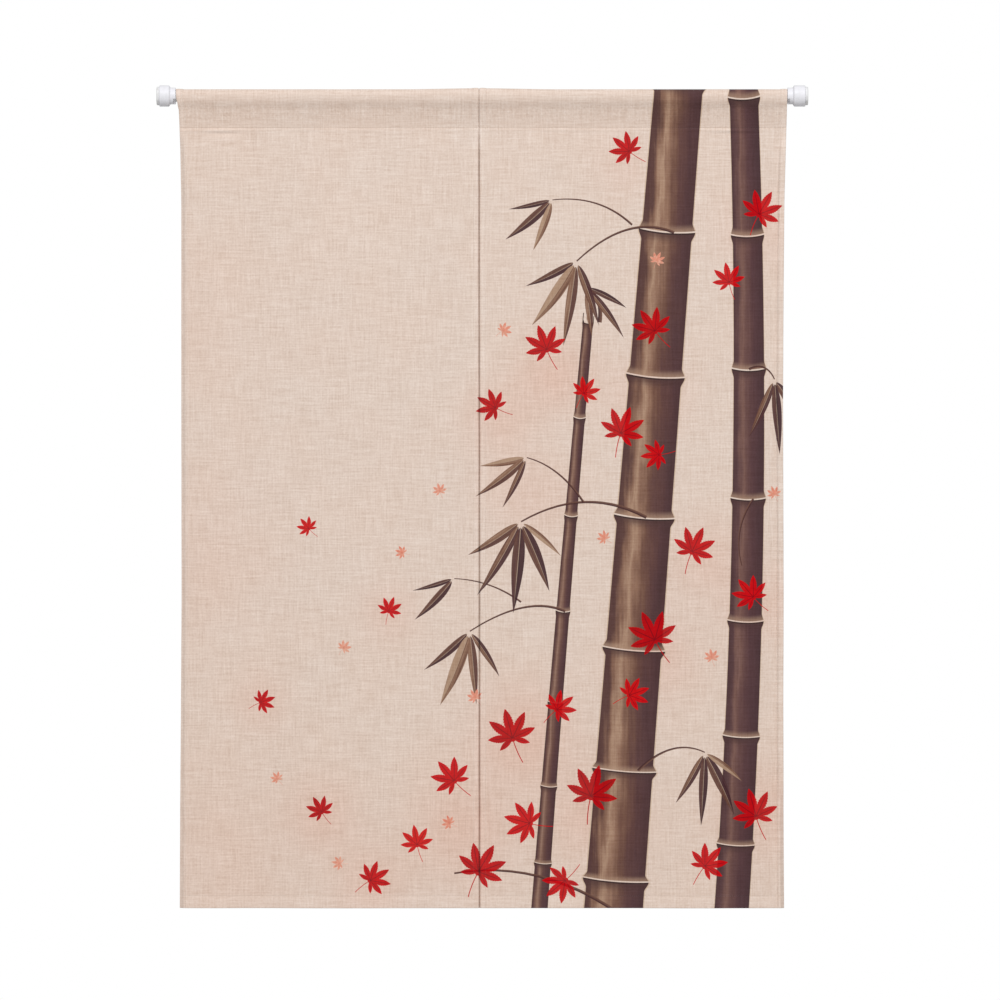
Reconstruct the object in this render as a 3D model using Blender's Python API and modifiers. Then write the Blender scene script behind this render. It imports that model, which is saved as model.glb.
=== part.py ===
"""A noren: two slubbed cloth panels hung side by side on a tension rod.

Metres, +Z up. The origin is the centre of the left end pad's outer face, on the rod's axis.
+X runs along the rod to its right end as seen from the front, and the front of the cloth faces -Y.
Sizes below are in millimetres, and heights are counted from the rod's axis.
"""

import bpy
import bmesh
import math
import numpy as np
from mathutils import Matrix, Vector
from mathutils.geometry import interpolate_bezier

MM = 0.001

# The rod and its two ends, counted along the rod from each end pad's outer face
SPAN = 915.0
ROD_RADIUS = 8.0
TOUCH_GAP = 0.3
PAD_RADIUS = 13.0
PAD_RIM = 1.5
PAD_THICKNESS = 3.6
CAP_RADIUS = 14.9
CAP_CHAMFER = 0.8
CAP_WALL = 2.0
SHOULDER = 2.8
NECK = 7.0
NECK_RADIUS = 11.7
TURN_STEPS = 32
SHARP_ANGLE = math.radians(40.0)

# The two ends: side, way out along X, distance in from the end to where the cap's body stops
ENDS = [
    ("left", -1, 17.0),
    ("right", 1, 19.1),
]

# The cloth: its thickness, its pocket round the rod, the turned edge under the pocket's seam, and its hems
CLOTH = 1.0
HEM_CLOTH = 2.0
POCKET_SLACK = 0.4
POCKET_SEAM = -46.0
TURNED_EDGE = 6.0
FOOT = -1141.1
SIDE_HEM = 9.5
BOTTOM_HEM = 18.5
HEM_STEP = 0.8

# The front of the pocket leaves the rod at this angle below its axis and curves down to the seam
FRONT_LEAVE_ANGLE = math.radians(-38.0)
FRONT_HANDLE = 7.0
SEAM_HANDLE = 16.0
SEAM_LEAN = 2.0

# The bulk of the sewn join lifts the top of the pocket off the rod: middle, half width, rise
JOIN_LIFT = (453.5, 105.0, 1.4)

# How finely the cloth is divided
FIELD_COLUMNS = 18
FIELD_ROWS = 22
FRONT_SLOPE_ROWS = 6
ARC_ROWS = 16
BACK_SLOPE_ROWS = 3

# The four upright edges at each height: height, left outer, left slit, right slit, right outer
HEIGHT, LEFT_OUTER, LEFT_SLIT, RIGHT_SLIT, RIGHT_OUTER = range(5)
EDGES = [
    (0.0, 27.1, 453.1, 453.4, 885.8),
    (-8.0, 28.3, 453.1, 453.4, 885.4),
    (-15.0, 30.9, 453.1, 453.4, 885.3),
    (-30.0, 31.7, 453.1, 453.4, 885.1),
    (-46.0, 32.1, 453.1, 453.4, 884.7),
    (-75.0, 33.0, 453.1, 453.4, 883.8),
    (-105.0, 33.5, 453.1, 453.5, 882.9),
    (-150.0, 34.3, 453.1, 453.5, 881.8),
    (-280.0, 34.3, 453.2, 453.6, 880.7),
    (-430.0, 34.3, 453.2, 453.6, 879.9),
    (-700.0, 34.7, 453.3, 453.7, 880.8),
    (-850.0, 33.9, 453.4, 453.8, 880.3),
    (-990.0, 32.8, 453.4, 453.9, 880.7),
    (-1142.0, 32.1, 453.5, 454.0, 881.6),
]

# The two panels, each with the columns of the table of edges that bound it
PANELS = [
    ("panel_left", LEFT_OUTER, LEFT_SLIT),
    ("panel_right", RIGHT_SLIT, RIGHT_OUTER),
]

# Soft upright folds: middle, half width, how far forward, height where it starts, height where it is full
FOLDS = [
    (33.0, 48.0, -3.0, -60.0, -180.0),
    (131.0, 92.0, -3.6, -90.0, -240.0),
    (279.0, 112.0, 3.2, -90.0, -260.0),
    (410.0, 70.0, -1.2, -130.0, -420.0),
    (520.0, 80.0, -1.0, -130.0, -500.0),
    (622.0, 100.0, -3.0, -70.0, -280.0),
    (764.0, 96.0, 3.6, -110.0, -300.0),
    (881.0, 46.0, -2.4, -60.0, -240.0),
]

# Colours and finishes: base colour, roughness
CLOTH_FINISH = ((0.738, 0.604, 0.515), 0.92)
ROD_FINISH = ((0.86, 0.86, 0.86), 0.35)
CAP_FINISH = ((0.88, 0.88, 0.90), 0.38)
PAD_FINISH = ((0.74, 0.74, 0.75), 0.60)


def clear_scene():
    """Removes whatever the scene holds before the part is made."""
    for old in list(bpy.data.objects):
        bpy.data.objects.remove(old, do_unlink=True)


def make_material(name, finish):
    """A plain Principled material with a base colour and a roughness."""
    colour, roughness = finish
    material = bpy.data.materials.new(name)
    material.use_nodes = True
    shader = material.node_tree.nodes["Principled BSDF"]
    shader.inputs["Base Color"].default_value = (*colour, 1.0)
    shader.inputs["Roughness"].default_value = roughness
    shader.inputs["Metallic"].default_value = 0.0
    return material


def add_object(name, build, material, collection):
    """Turns a bmesh into one named piece of the collection with its own material, shaded smooth."""
    mesh = bpy.data.meshes.new(name)
    build.to_mesh(mesh)
    build.free()
    mesh.shade_smooth()
    mesh.set_sharp_from_angle(angle=SHARP_ANGLE)
    mesh.materials.append(material)
    piece = bpy.data.objects.new(name, mesh)
    collection.objects.link(piece)
    return piece


def bell(distance):
    """A smooth hump: 1 in the middle, 0 from a distance of 1 on."""
    return np.clip(1.0 - distance**2, 0.0, 1.0) ** 2


def ease(share):
    """Goes smoothly from 0 to 1 as the share does."""
    share = np.clip(share, 0.0, 1.0)
    return share * share * (3.0 - 2.0 * share)


def fold_depth(across, height):
    """How far back the cloth lies at a place, from the table of folds."""
    depth = np.zeros_like(across)
    for middle, half_width, forward, start, full in FOLDS:
        reach = ease((start - height) / (start - full))
        depth -= forward * bell((across - middle) / half_width) * reach
    return depth


def pocket_path():
    """Depths and heights of the pocket: from the seam up its front, over the rod and down its back."""
    radius = ROD_RADIUS + POCKET_SLACK + CLOTH / 2
    back_angle = math.pi + math.asin(radius / -POCKET_SEAM)
    seam = Vector((0.0, POCKET_SEAM, 0.0))
    leave = Vector((-radius * math.cos(FRONT_LEAVE_ANGLE), radius * math.sin(FRONT_LEAVE_ANGLE), 0.0))
    down = Vector((-math.sin(FRONT_LEAVE_ANGLE), -math.cos(FRONT_LEAVE_ANGLE), 0.0))
    front = interpolate_bezier(
        seam,
        seam + Vector((-SEAM_LEAN, SEAM_HANDLE, 0.0)),
        leave + FRONT_HANDLE * down,
        leave,
        FRONT_SLOPE_ROWS + 1,
    )
    angles = np.linspace(FRONT_LEAVE_ANGLE, back_angle, ARC_ROWS + 1)[1:]
    arc = [(-radius * math.cos(angle), radius * math.sin(angle)) for angle in angles]
    steps = np.arange(1, BACK_SLOPE_ROWS + 1) / (BACK_SLOPE_ROWS + 1)
    back = [(arc[-1][0] * (1 - step), arc[-1][1] * (1 - step) + POCKET_SEAM * step) for step in steps]
    return np.array([(point.x, point.y) for point in front[1:]] + arc + back)


def join_rise(across, height):
    """How far the sewn join lifts the cloth over the rod, most at the very top."""
    middle, half_width, rise = JOIN_LIFT
    top = ROD_RADIUS + POCKET_SLACK + CLOTH / 2
    return rise * bell((across - middle) / half_width) * ease(height / top)


def sheet_rows():
    """Heights and thicknesses of the rows from the bottom edge up to the pocket seam."""
    hem = [FOOT, FOOT + BOTTOM_HEM]
    turned = [POCKET_SEAM - TURNED_EDGE, POCKET_SEAM - HEM_STEP]
    field = np.linspace(hem[-1] + HEM_STEP, turned[0] - HEM_STEP, FIELD_ROWS + 1)
    heights = np.concatenate([hem, field, turned, [POCKET_SEAM]])
    doubled = np.isin(heights, hem + turned)
    return heights, np.where(doubled, HEM_CLOTH, CLOTH)


def column_places(left, right):
    """Places of the columns between a row's two edges, with a step beside each side hem."""
    inner_left = left + SIDE_HEM
    inner_right = right - SIDE_HEM
    field = np.linspace(inner_left + HEM_STEP, inner_right - HEM_STEP, FIELD_COLUMNS + 1)
    return np.concatenate([[left, inner_left], field, [inner_right, right]])


def panel_grid(left_column, right_column):
    """The middle of the cloth as a grid of points, foot to seam and then round the pocket.

    Also gives the cloth's thickness at each point and the number of the seam's row. A doubled place
    is thicker to the back only, so its middle lies further back.
    """
    heights, row_thickness = sheet_rows()
    seam_row = len(heights) - 1
    path = pocket_path()
    row_heights = np.concatenate([heights, path[:, 1]])
    row_depths = np.concatenate([np.zeros(len(heights)), path[:, 0]])
    table = np.array(EDGES)[::-1]
    lefts = np.interp(row_heights, table[:, HEIGHT], table[:, left_column])
    rights = np.interp(row_heights, table[:, HEIGHT], table[:, right_column])
    across = np.array([column_places(left, right) for left, right in zip(lefts, rights)])
    tall = np.repeat(row_heights[:, None], across.shape[1], axis=1)

    side_hems = [0, 1, -2, -1]
    thickness = np.full(across.shape, CLOTH)
    thickness[: seam_row + 1] = row_thickness[:, None]
    thickness[:seam_row, side_hems] = HEM_CLOTH

    depth = row_depths[:, None] + fold_depth(across, tall) + (thickness - CLOTH) / 2
    points = np.stack([across, depth, tall + join_rise(across, tall)], axis=2) * MM
    return points, thickness, seam_row


def make_panel(name, left_column, right_column, material, collection):
    """One cloth panel: a sheet with doubled hems, its top taken round the rod and sewn to its own back."""
    points, thickness, seam_row = panel_grid(left_column, right_column)
    build = bmesh.new()
    grid = [[build.verts.new(point) for point in row] for row in points]
    for lower, upper in zip(grid, grid[1:] + [grid[seam_row]]):
        for column in range(len(lower) - 1):
            build.faces.new((lower[column], lower[column + 1], upper[column + 1], upper[column]))

    panel = add_object(name, build, material, collection)
    doubling = panel.vertex_groups.new(name="thickness")
    for index, share in enumerate((thickness / HEM_CLOTH).ravel()):
        doubling.add([index], float(share), "REPLACE")
    solidify = panel.modifiers.new("cloth thickness", "SOLIDIFY")
    solidify.solidify_mode = "NON_MANIFOLD"
    solidify.thickness = HEM_CLOTH * MM
    solidify.offset = 0.0
    solidify.vertex_group = doubling.name
    return panel


def turned_piece(name, profile, outward, material, collection):
    """A turned piece at one end of the rod: radius and distance in from the end, carried round the axis."""
    build = bmesh.new()
    corners = [build.verts.new((radius * MM, 0.0, -inward * MM)) for radius, inward in profile]
    for first, second in zip(corners, corners[1:]):
        build.edges.new((first, second))

    piece = add_object(name, build, material, collection)
    piece.location.x = SPAN * MM if outward > 0 else 0.0
    piece.rotation_euler.y = outward * math.pi / 2
    turn = piece.modifiers.new("turn", "SCREW")
    turn.steps = TURN_STEPS
    turn.render_steps = TURN_STEPS
    turn.use_merge_vertices = True
    turn.merge_threshold = 0.00001
    turn.use_smooth_shade = True
    return piece


def pad_profile():
    """A soft disc with a rounded outer rim."""
    angles = np.linspace(math.pi / 2, 0.0, 4)
    inset = PAD_RIM * (1.0 - np.cos(angles))
    drop = PAD_RIM * (1.0 - np.sin(angles))
    rim = list(zip(PAD_RADIUS - inset, drop))
    return [(0.0, 0.0)] + rim + [(PAD_RADIUS, PAD_THICKNESS), (0.0, PAD_THICKNESS)]


def cap_profile(body_end):
    """A cup with a wide body, a sloping shoulder and a narrow neck, bored from the neck for the rod."""
    face = PAD_THICKNESS + TOUCH_GAP
    bore = ROD_RADIUS + TOUCH_GAP
    neck_start = body_end + SHOULDER
    neck_end = neck_start + NECK
    return [
        (0.0, face),
        (CAP_RADIUS - CAP_CHAMFER, face),
        (CAP_RADIUS, face + CAP_CHAMFER),
        (CAP_RADIUS, body_end),
        (NECK_RADIUS, neck_start),
        (NECK_RADIUS, neck_end - CAP_CHAMFER / 2),
        (NECK_RADIUS - CAP_CHAMFER / 2, neck_end),
        (bore, neck_end),
        (bore, face + CAP_WALL),
        (0.0, face + CAP_WALL),
    ]


def make_rod(material, collection):
    """The rod: one plain round bar that reaches into both caps."""
    end = PAD_THICKNESS + TOUCH_GAP + CAP_WALL + TOUCH_GAP
    build = bmesh.new()
    bmesh.ops.create_cone(
        build,
        cap_ends=True,
        segments=TURN_STEPS,
        radius1=ROD_RADIUS * MM,
        radius2=ROD_RADIUS * MM,
        depth=(SPAN - 2 * end) * MM,
        matrix=Matrix.Rotation(math.pi / 2, 4, "Y"),
    )
    rod = add_object("rod", build, material, collection)
    rod.location.x = SPAN / 2 * MM
    return rod


def main():
    clear_scene()
    collection = bpy.data.collections.new("noren_curtain")
    bpy.context.scene.collection.children.link(collection)

    cloth = make_material("cloth", CLOTH_FINISH)
    for name, left_column, right_column in PANELS:
        make_panel(name, left_column, right_column, cloth, collection)
    make_rod(make_material("rod", ROD_FINISH), collection)

    cap = make_material("cap_plastic", CAP_FINISH)
    pad = make_material("pad_rubber", PAD_FINISH)
    for side, outward, body_end in ENDS:
        turned_piece("end_cap_" + side, cap_profile(body_end), outward, cap, collection)
        turned_piece("end_pad_" + side, pad_profile(), outward, pad, collection)


main()
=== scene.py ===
"""The looks of a noren: two printed, slubbed cloth panels on a tension rod with capped and padded ends.

Metres, +Z up, in the frame of the part's solids: the origin is the centre of the left end pad's outer face,
+X runs along the rod and the printed front faces -Y. Heights are counted from the rod's axis.
"""

import math
from types import SimpleNamespace

import bpy
import numpy as np
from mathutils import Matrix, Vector


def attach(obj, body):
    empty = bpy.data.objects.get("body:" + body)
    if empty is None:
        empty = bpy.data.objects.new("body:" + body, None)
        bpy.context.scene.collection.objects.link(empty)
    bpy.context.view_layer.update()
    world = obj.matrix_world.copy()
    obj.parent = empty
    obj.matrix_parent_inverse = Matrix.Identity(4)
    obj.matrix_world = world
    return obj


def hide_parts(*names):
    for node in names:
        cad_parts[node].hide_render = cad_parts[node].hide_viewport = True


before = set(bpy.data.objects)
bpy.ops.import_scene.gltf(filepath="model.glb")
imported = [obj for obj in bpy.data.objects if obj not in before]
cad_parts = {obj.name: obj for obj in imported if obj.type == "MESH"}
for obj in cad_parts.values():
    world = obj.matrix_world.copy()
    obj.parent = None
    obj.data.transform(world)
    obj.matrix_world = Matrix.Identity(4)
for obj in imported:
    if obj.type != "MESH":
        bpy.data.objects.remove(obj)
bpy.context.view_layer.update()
MM = 0.001


# The two end pads. Each is a soft disc of grey-white rubber, moulded with a rounded rim and shallow grip
# rings, and glued into the flat end of its cap. It is what presses on the side of the doorway.
SPAN = 915.0 * MM
# Each end: its side, where its pad's face lies, the way in, and where its cap's wide body ends
ENDS = (("left", 0.0, 1.0, 17.0 * MM), ("right", SPAN, -1.0, 19.1 * MM))
PAD_RADIUS = 13.0 * MM
PAD_RIM = 1.5 * MM
# How far the pad stands out of its cap, and how far it reaches with the part that is glued in
PAD_THICKNESS = 3.6 * MM
PAD_GLUED = 3.85 * MM
PAD_RINGS = (4.5 * MM, 7.5 * MM, 10.2 * MM)
PAD_RING_WIDTH = 0.6 * MM
PAD_RING_DEPTH = 0.25 * MM
PAD_COLOUR = (0.80, 0.80, 0.81)
PAD_SOILED = (0.66, 0.65, 0.64)
PAD_GRAIN, PAD_GRAIN_DEPTH = 2600.0, 0.08 * MM
# Soiled blotches: scale, and the range of the noise over which they come in
BLOTCH_SCALE, BLOTCH_RANGE = 160.0, (0.48, 0.70)
TURN_STEPS = 96


def bell(distance):
    """A smooth hump, (1 - distance squared) squared: 1 in the middle, 0 from a distance of 1 on."""
    return np.clip(1.0 - np.asarray(distance) ** 2, 0.0, 1.0) ** 2


def ease(share):
    """Goes smoothly from 0 to 1 as the share does: share squared times (3 - 2 share)."""
    share = np.clip(share, 0.0, 1.0)
    return share * share * (3.0 - 2.0 * share)


def add_piece(name, points, faces):
    """Puts points and faces into a new smooth-shaded piece that rides on the part."""
    mesh = bpy.data.meshes.new(name)
    mesh.from_pydata(np.reshape(points, (-1, 3)).tolist(), [], faces)
    mesh.update()
    mesh.shade_smooth()
    piece = bpy.data.objects.new(name, mesh)
    bpy.context.scene.collection.objects.link(piece)
    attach(piece, "root")
    return piece


def grid_faces(rows, columns, wrapped=False):
    """The quads of a grid of points, row by row; a wrapped grid also joins its last column to its first."""
    index = np.arange(rows * columns).reshape(rows, columns)
    if wrapped:
        index = np.concatenate([index, index[:, :1]], axis=1)
    corners = [index[:-1, :-1], index[:-1, 1:], index[1:, 1:], index[1:, :-1]]
    return np.stack(corners, axis=2).reshape(-1, 4)


def turned_points(radii, inward, start, direction):
    """Carries a profile round the rod's axis: radius times (cos, sin) of the turn, at its distance in."""
    turn = np.linspace(0.0, 2.0 * math.pi, TURN_STEPS, endpoint=False)
    radii, inward = (np.asarray(values, float)[:, None] for values in (radii, inward))
    across = start + direction * inward + 0.0 * turn
    return np.stack([across, radii * np.cos(turn), radii * np.sin(turn)], axis=2)


def add_turned(name, points, direction):
    """A turned piece from its rings of points. The first and last rings become single poles."""
    rings, steps = points.shape[:2]
    first = np.arange(1, steps + 1)
    last = first + (rings - 3) * steps
    end_pole = np.full(steps, 1 + (rings - 2) * steps)
    middle = grid_faces(rings - 2, steps, wrapped=True) + 1
    start_fan = np.stack([np.zeros(steps, int), np.roll(first, -1), first], axis=1)
    end_fan = np.stack([last, np.roll(last, -1), end_pole], axis=1)
    faces = middle.tolist() + start_fan.tolist() + end_fan.tolist()
    if direction < 0.0:
        faces = [face[::-1] for face in faces]
    places = np.concatenate([points[0, :1], points[1:-1].reshape(-1, 3), points[-1, :1]])
    return add_piece(name, places, faces)


def fill_inputs(tree, node, inputs):
    """Fills a node's inputs by name or number. Each is a value, or another node's output to link."""
    for key, value in inputs.items():
        if isinstance(value, bpy.types.NodeSocket):
            tree.links.new(value, node.inputs[key])
        else:
            node.inputs[key].default_value = value


def add_node(tree, kind, inputs=None, **settings):
    """Adds a shader node with its settings and its inputs."""
    node = tree.nodes.new("ShaderNode" + kind)
    for name, value in settings.items():
        setattr(node, name, value)
    fill_inputs(tree, node, inputs or {})
    return node


def calc(tree, operation, *values):
    """The output of a Math node."""
    return add_node(tree, "Math", dict(enumerate(values)), operation=operation).outputs[0]


def vector_calc(tree, operation, *values):
    """The vector output of a Vector Math node."""
    return add_node(tree, "VectorMath", dict(enumerate(values)), operation=operation).outputs[0]


def noise(tree, place, scale, detail=2.0):
    """Soft noise around 0.5. Its lumps are one part in scale of the place's unit wide."""
    return add_node(tree, "TexNoise", {"Vector": place, "Scale": scale, "Detail": detail}).outputs[0]


def remap(tree, value, low, high, to_low=0.0, to_high=1.0, kind="LINEAR"):
    """Takes a value from one range to another, held at its ends."""
    inputs = {0: value, 1: low, 2: high, 3: to_low, 4: to_high}
    return add_node(tree, "MapRange", inputs, interpolation_type=kind).outputs[0]


def mix(tree, factor, first, second, blend="MIX"):
    """Mixes two colours."""
    first, second = ((*c, 1.0) if isinstance(c, tuple) else c for c in (first, second))
    inputs = {0: factor, 6: first, 7: second}
    return add_node(tree, "Mix", inputs, data_type="RGBA", blend_type=blend).outputs[2]


def ramp(tree, value, stops):
    """A colour ramp from its stops, each a place from 0 to 1 and a colour."""
    node = add_node(tree, "ValToRGB", {0: value})
    elements = node.color_ramp.elements
    while len(elements) < len(stops):
        elements.new(1.0)
    for element, (place, colour) in zip(elements, stops):
        element.position = place
        element.color = (*colour, 1.0)
    return node.outputs[0]


def start_group(name, inputs, outputs):
    """A new shader group with sockets named by (name, kind), and the sockets of its two end nodes."""
    group = bpy.data.node_groups.new(name, "ShaderNodeTree")
    for direction, sockets in (("INPUT", inputs), ("OUTPUT", outputs)):
        for socket_name, kind in sockets:
            group.interface.new_socket(socket_name, in_out=direction, socket_type="NodeSocket" + kind)
    return group, group.nodes.new("NodeGroupInput").outputs, group.nodes.new("NodeGroupOutput").inputs


def use_group(tree, group, inputs):
    """Places a shader group with its inputs filled, and gives its outputs."""
    return add_node(tree, "Group", inputs, node_tree=group).outputs


def start_material(name):
    """A new node material, with its tree and its Principled shader."""
    material = bpy.data.materials.new(name)
    material.use_nodes = True
    return material, material.node_tree, material.node_tree.nodes["Principled BSDF"]


def bump(tree, height, distance, strength=1.0):
    """A bumped normal: the height times the distance in metres stands proud of the surface."""
    return add_node(tree, "Bump", {"Height": height, "Distance": distance, "Strength": strength}).outputs[0]


def moulding_group():
    """Fine moulded grain with a few handling marks: a height, and a mask of the duller, soiled places."""
    group, given, result = start_group(
        "moulded grain",
        [("Place", "Vector"), ("Grain", "Float")],
        [("Height", "Float"), ("Soil", "Float")],
    )
    grain = noise(group, given["Place"], given["Grain"], 3.0)
    blotch = noise(group, given["Place"], BLOTCH_SCALE, 3.0)
    group.links.new(grain, result["Height"])
    group.links.new(remap(group, blotch, *BLOTCH_RANGE), result["Soil"])
    return group


def pad_rubber_material(grain):
    """Matt grey-white rubber: fine grain, a little soiled in soft blotches."""
    material, tree, shader = start_material("pad rubber")
    place = add_node(tree, "TexCoord").outputs["Object"]
    marks = use_group(tree, grain, {"Place": place, "Grain": PAD_GRAIN})
    fill_inputs(tree, shader, {
        "Base Color": mix(tree, marks["Soil"], PAD_COLOUR, PAD_SOILED),
        "Roughness": remap(tree, marks["Soil"], 0.0, 1.0, 0.62, 0.78),
        "Normal": bump(tree, marks["Height"], PAD_GRAIN_DEPTH),
    })
    return material


def pad_profile():
    """Radii and distances in: a face with bell-shaped grooves, a quarter-round rim, a side and a back."""
    face = np.linspace(0.0, PAD_RADIUS - PAD_RIM, 60)
    grooves = sum(PAD_RING_DEPTH * bell((face - ring) / PAD_RING_WIDTH) for ring in PAD_RINGS)
    turn = np.linspace(0.0, math.pi / 2, 9)[1:]
    rim = PAD_RADIUS - PAD_RIM * (1.0 - np.sin(turn))
    rim_in = PAD_RIM * (1.0 - np.cos(turn))
    radii = np.concatenate([face, rim, [PAD_RADIUS, PAD_RADIUS, PAD_RADIUS * 0.98, 0.0]])
    inward = np.concatenate([grooves, rim_in, np.array([0.55, 0.98, 1.0, 1.0]) * PAD_GLUED])
    return radii, inward


moulded_grain = moulding_group()
pad_rubber = pad_rubber_material(moulded_grain)
for side, start, direction, body_end in ENDS:
    rings = turned_points(*pad_profile(), start, direction)
    pad = add_turned("pad_" + side, rings, direction)
    pad.data.materials.append(pad_rubber)
    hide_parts("end_pad_" + side)


# The two end caps. Each is a white plastic moulding: a wide body against its pad, a sloping shoulder, and a
# narrower neck with a small latch notch low on its front, bored to slip over the end of the rod.
TOUCH_GAP = 0.3 * MM
CAP_RADIUS = 14.9 * MM
CAP_ROUND = 0.9 * MM
CAP_WALL = 2.0 * MM
SHOULDER = 2.8 * MM
NECK = 7.0 * MM
NECK_RADIUS = 11.7 * MM
NECK_ROUND = 0.6 * MM
BORE_RADIUS = 8.3 * MM
NOTCH_TURN = math.radians(230.0)
NOTCH_HALF_TURN = math.radians(26.0)
NOTCH_LENGTH = 3.4 * MM
NOTCH_DEPTH = 2.6 * MM
NOTCH_SLOPE = 0.22
CAP_COLOUR = (0.820, 0.815, 0.858)
CAP_SCUFFED = (0.775, 0.770, 0.800)
CAP_GRAIN, CAP_GRAIN_DEPTH = 1400.0, 0.03 * MM


def rounded(corner_radius, corner_in, size, out_to_in, steps=6):
    """A quarter round at a corner of a profile, from its side that faces the end to its side that faces
    out, or the other way about where out_to_in is true."""
    turn = np.linspace(0.0, math.pi / 2, steps)
    radii = corner_radius - size * (1.0 - np.sin(turn))
    inward = corner_in + size * (1.0 - np.cos(turn))
    if out_to_in:
        return radii[::-1], 2.0 * corner_in - inward[::-1]
    return radii, inward


def cap_profile(body_end):
    """Radii and distances in: face, round, body, eased shoulder, neck, round, then back down the bore."""
    face = PAD_THICKNESS + TOUCH_GAP
    slope = np.linspace(0.0, 1.0, 10)
    neck_start = body_end + SHOULDER
    neck_end = neck_start + NECK
    parts = [
        (np.linspace(0.0, CAP_RADIUS - CAP_ROUND, 8)[:-1], np.full(7, face)),
        rounded(CAP_RADIUS, face, CAP_ROUND, False),
        (np.full(6, CAP_RADIUS), np.linspace(face + CAP_ROUND, body_end, 8)[1:-1]),
        (CAP_RADIUS + (NECK_RADIUS - CAP_RADIUS) * ease(slope), body_end + SHOULDER * slope),
        (np.full(17, NECK_RADIUS), np.linspace(neck_start, neck_end - NECK_ROUND, 18)[1:]),
        rounded(NECK_RADIUS, neck_end, NECK_ROUND, True),
        (np.full(6, BORE_RADIUS), np.linspace(neck_end, face + CAP_WALL, 6)),
        (np.array([BORE_RADIUS * 0.9, 0.0]), np.full(2, face + CAP_WALL)),
    ]
    radii, inward = (np.concatenate(values) for values in zip(*parts))
    return radii, inward, neck_end


def cut_notch(points, start, direction, neck_end):
    """Presses the latch notch into the neck: radius less the depth, in a window of turn and distance in."""
    inward = (points[..., 0] - start) * direction
    radius = np.hypot(points[..., 1], points[..., 2])
    turn = np.arctan2(points[..., 2], points[..., 1]) % (2.0 * math.pi)
    sideways = np.abs(turn - NOTCH_TURN) / NOTCH_HALF_TURN
    lengthways = (inward - (neck_end - NOTCH_LENGTH)) / NOTCH_LENGTH
    window = ease((1.0 - sideways) / NOTCH_SLOPE) * ease(lengthways / NOTCH_SLOPE)
    outer = radius > (NECK_RADIUS + BORE_RADIUS) / 2
    shrink = np.where(outer, 1.0 - NOTCH_DEPTH * window / np.maximum(radius, BORE_RADIUS), 1.0)
    return points * np.stack([np.ones_like(shrink), shrink, shrink], axis=2)


def cap_plastic_material(grain):
    """Satin white plastic: fine grain, faint scuffs that are duller and greyer."""
    material, tree, shader = start_material("cap plastic")
    place = add_node(tree, "TexCoord").outputs["Object"]
    marks = use_group(tree, grain, {"Place": place, "Grain": CAP_GRAIN})
    fill_inputs(tree, shader, {
        "Base Color": mix(tree, marks["Soil"], CAP_COLOUR, CAP_SCUFFED),
        "Roughness": remap(tree, marks["Soil"], 0.0, 1.0, 0.40, 0.52),
        "Normal": bump(tree, marks["Height"], CAP_GRAIN_DEPTH),
        "Specular IOR Level": 0.2,
    })
    return material


cap_plastic = cap_plastic_material(moulded_grain)
for side, start, direction, body_end in ENDS:
    radii, inward, neck_end = cap_profile(body_end)
    rings = cut_notch(turned_points(radii, inward, start, direction), start, direction, neck_end)
    cap = add_turned("cap_" + side, rings, direction)
    cap.data.materials.append(cap_plastic)
    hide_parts("end_cap_" + side)


# The rod. It is a plain round steel tube painted white, seen only where the pocket's ends and the slit let
# it show. Its ends sit in the bores of the two caps.
ROD_RADIUS = 8.0 * MM
ROD_COLOUR = (0.84, 0.84, 0.83)
ROD_WORN = (0.60, 0.59, 0.57)
ROD_GRAIN, ROD_GRAIN_DEPTH = 900.0, 0.02 * MM
ROD_STREAKS, STREAK_RANGE = (20.0, 600.0, 600.0), (0.60, 0.72)


def drawn_noise(tree, place, scales, detail=2.0):
    """Soft noise drawn out along some axes: its lumps are one part in each axis's scale of a metre long."""
    return noise(tree, vector_calc(tree, "MULTIPLY", place, scales), 1.0, detail)


def rod_material(grain):
    """Semi-gloss white paint with a soft orange-peel skin and rubbed streaks along the rod."""
    material, tree, shader = start_material("rod paint")
    place = add_node(tree, "TexCoord").outputs["Object"]
    marks = use_group(tree, grain, {"Place": place, "Grain": ROD_GRAIN})
    streak = drawn_noise(tree, place, ROD_STREAKS)
    rubbed = calc(tree, "MULTIPLY", remap(tree, streak, *STREAK_RANGE), marks["Soil"])
    fill_inputs(tree, shader, {
        "Base Color": mix(tree, rubbed, ROD_COLOUR, ROD_WORN),
        "Roughness": remap(tree, rubbed, 0.0, 1.0, 0.30, 0.50),
        "Normal": bump(tree, marks["Height"], ROD_GRAIN_DEPTH),
        "Coat Weight": 0.3,
    })
    return material


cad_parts["rod"].material_slots[0].material = rod_material(moulded_grain)


# The two cloth panels. Each is one piece of slubbed cloth with narrow side hems and a deep bottom hem,
# folded to the back and sewn. Its top goes over the rod and is sewn to its own back, which leaves a turned
# edge below the seam.
CLOTH = 1.0 * MM
HEM_EXTRA = 1.0 * MM
POCKET_SLACK = 0.4 * MM
POCKET_SEAM = -45.0 * MM
TURNED_EDGE = 6.0 * MM
FOOT = -1141.1 * MM
SIDE_HEM = 9.5 * MM
BOTTOM_HEM = 18.5 * MM
HEM_STEP = 0.35 * MM
SIDE_STITCH = 8.2 * MM
BOTTOM_STITCH = 17.2 * MM
EDGE_ROUND = 1.0 * MM
SIDE_ROUND = 1.5 * MM
SLIT_ROUND, SLIT_POWER = 1.8 * MM, 0.7
FLAP_DEPTH = 1.15 * MM
POCKET_RADIUS = ROD_RADIUS + POCKET_SLACK + CLOTH / 2
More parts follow.
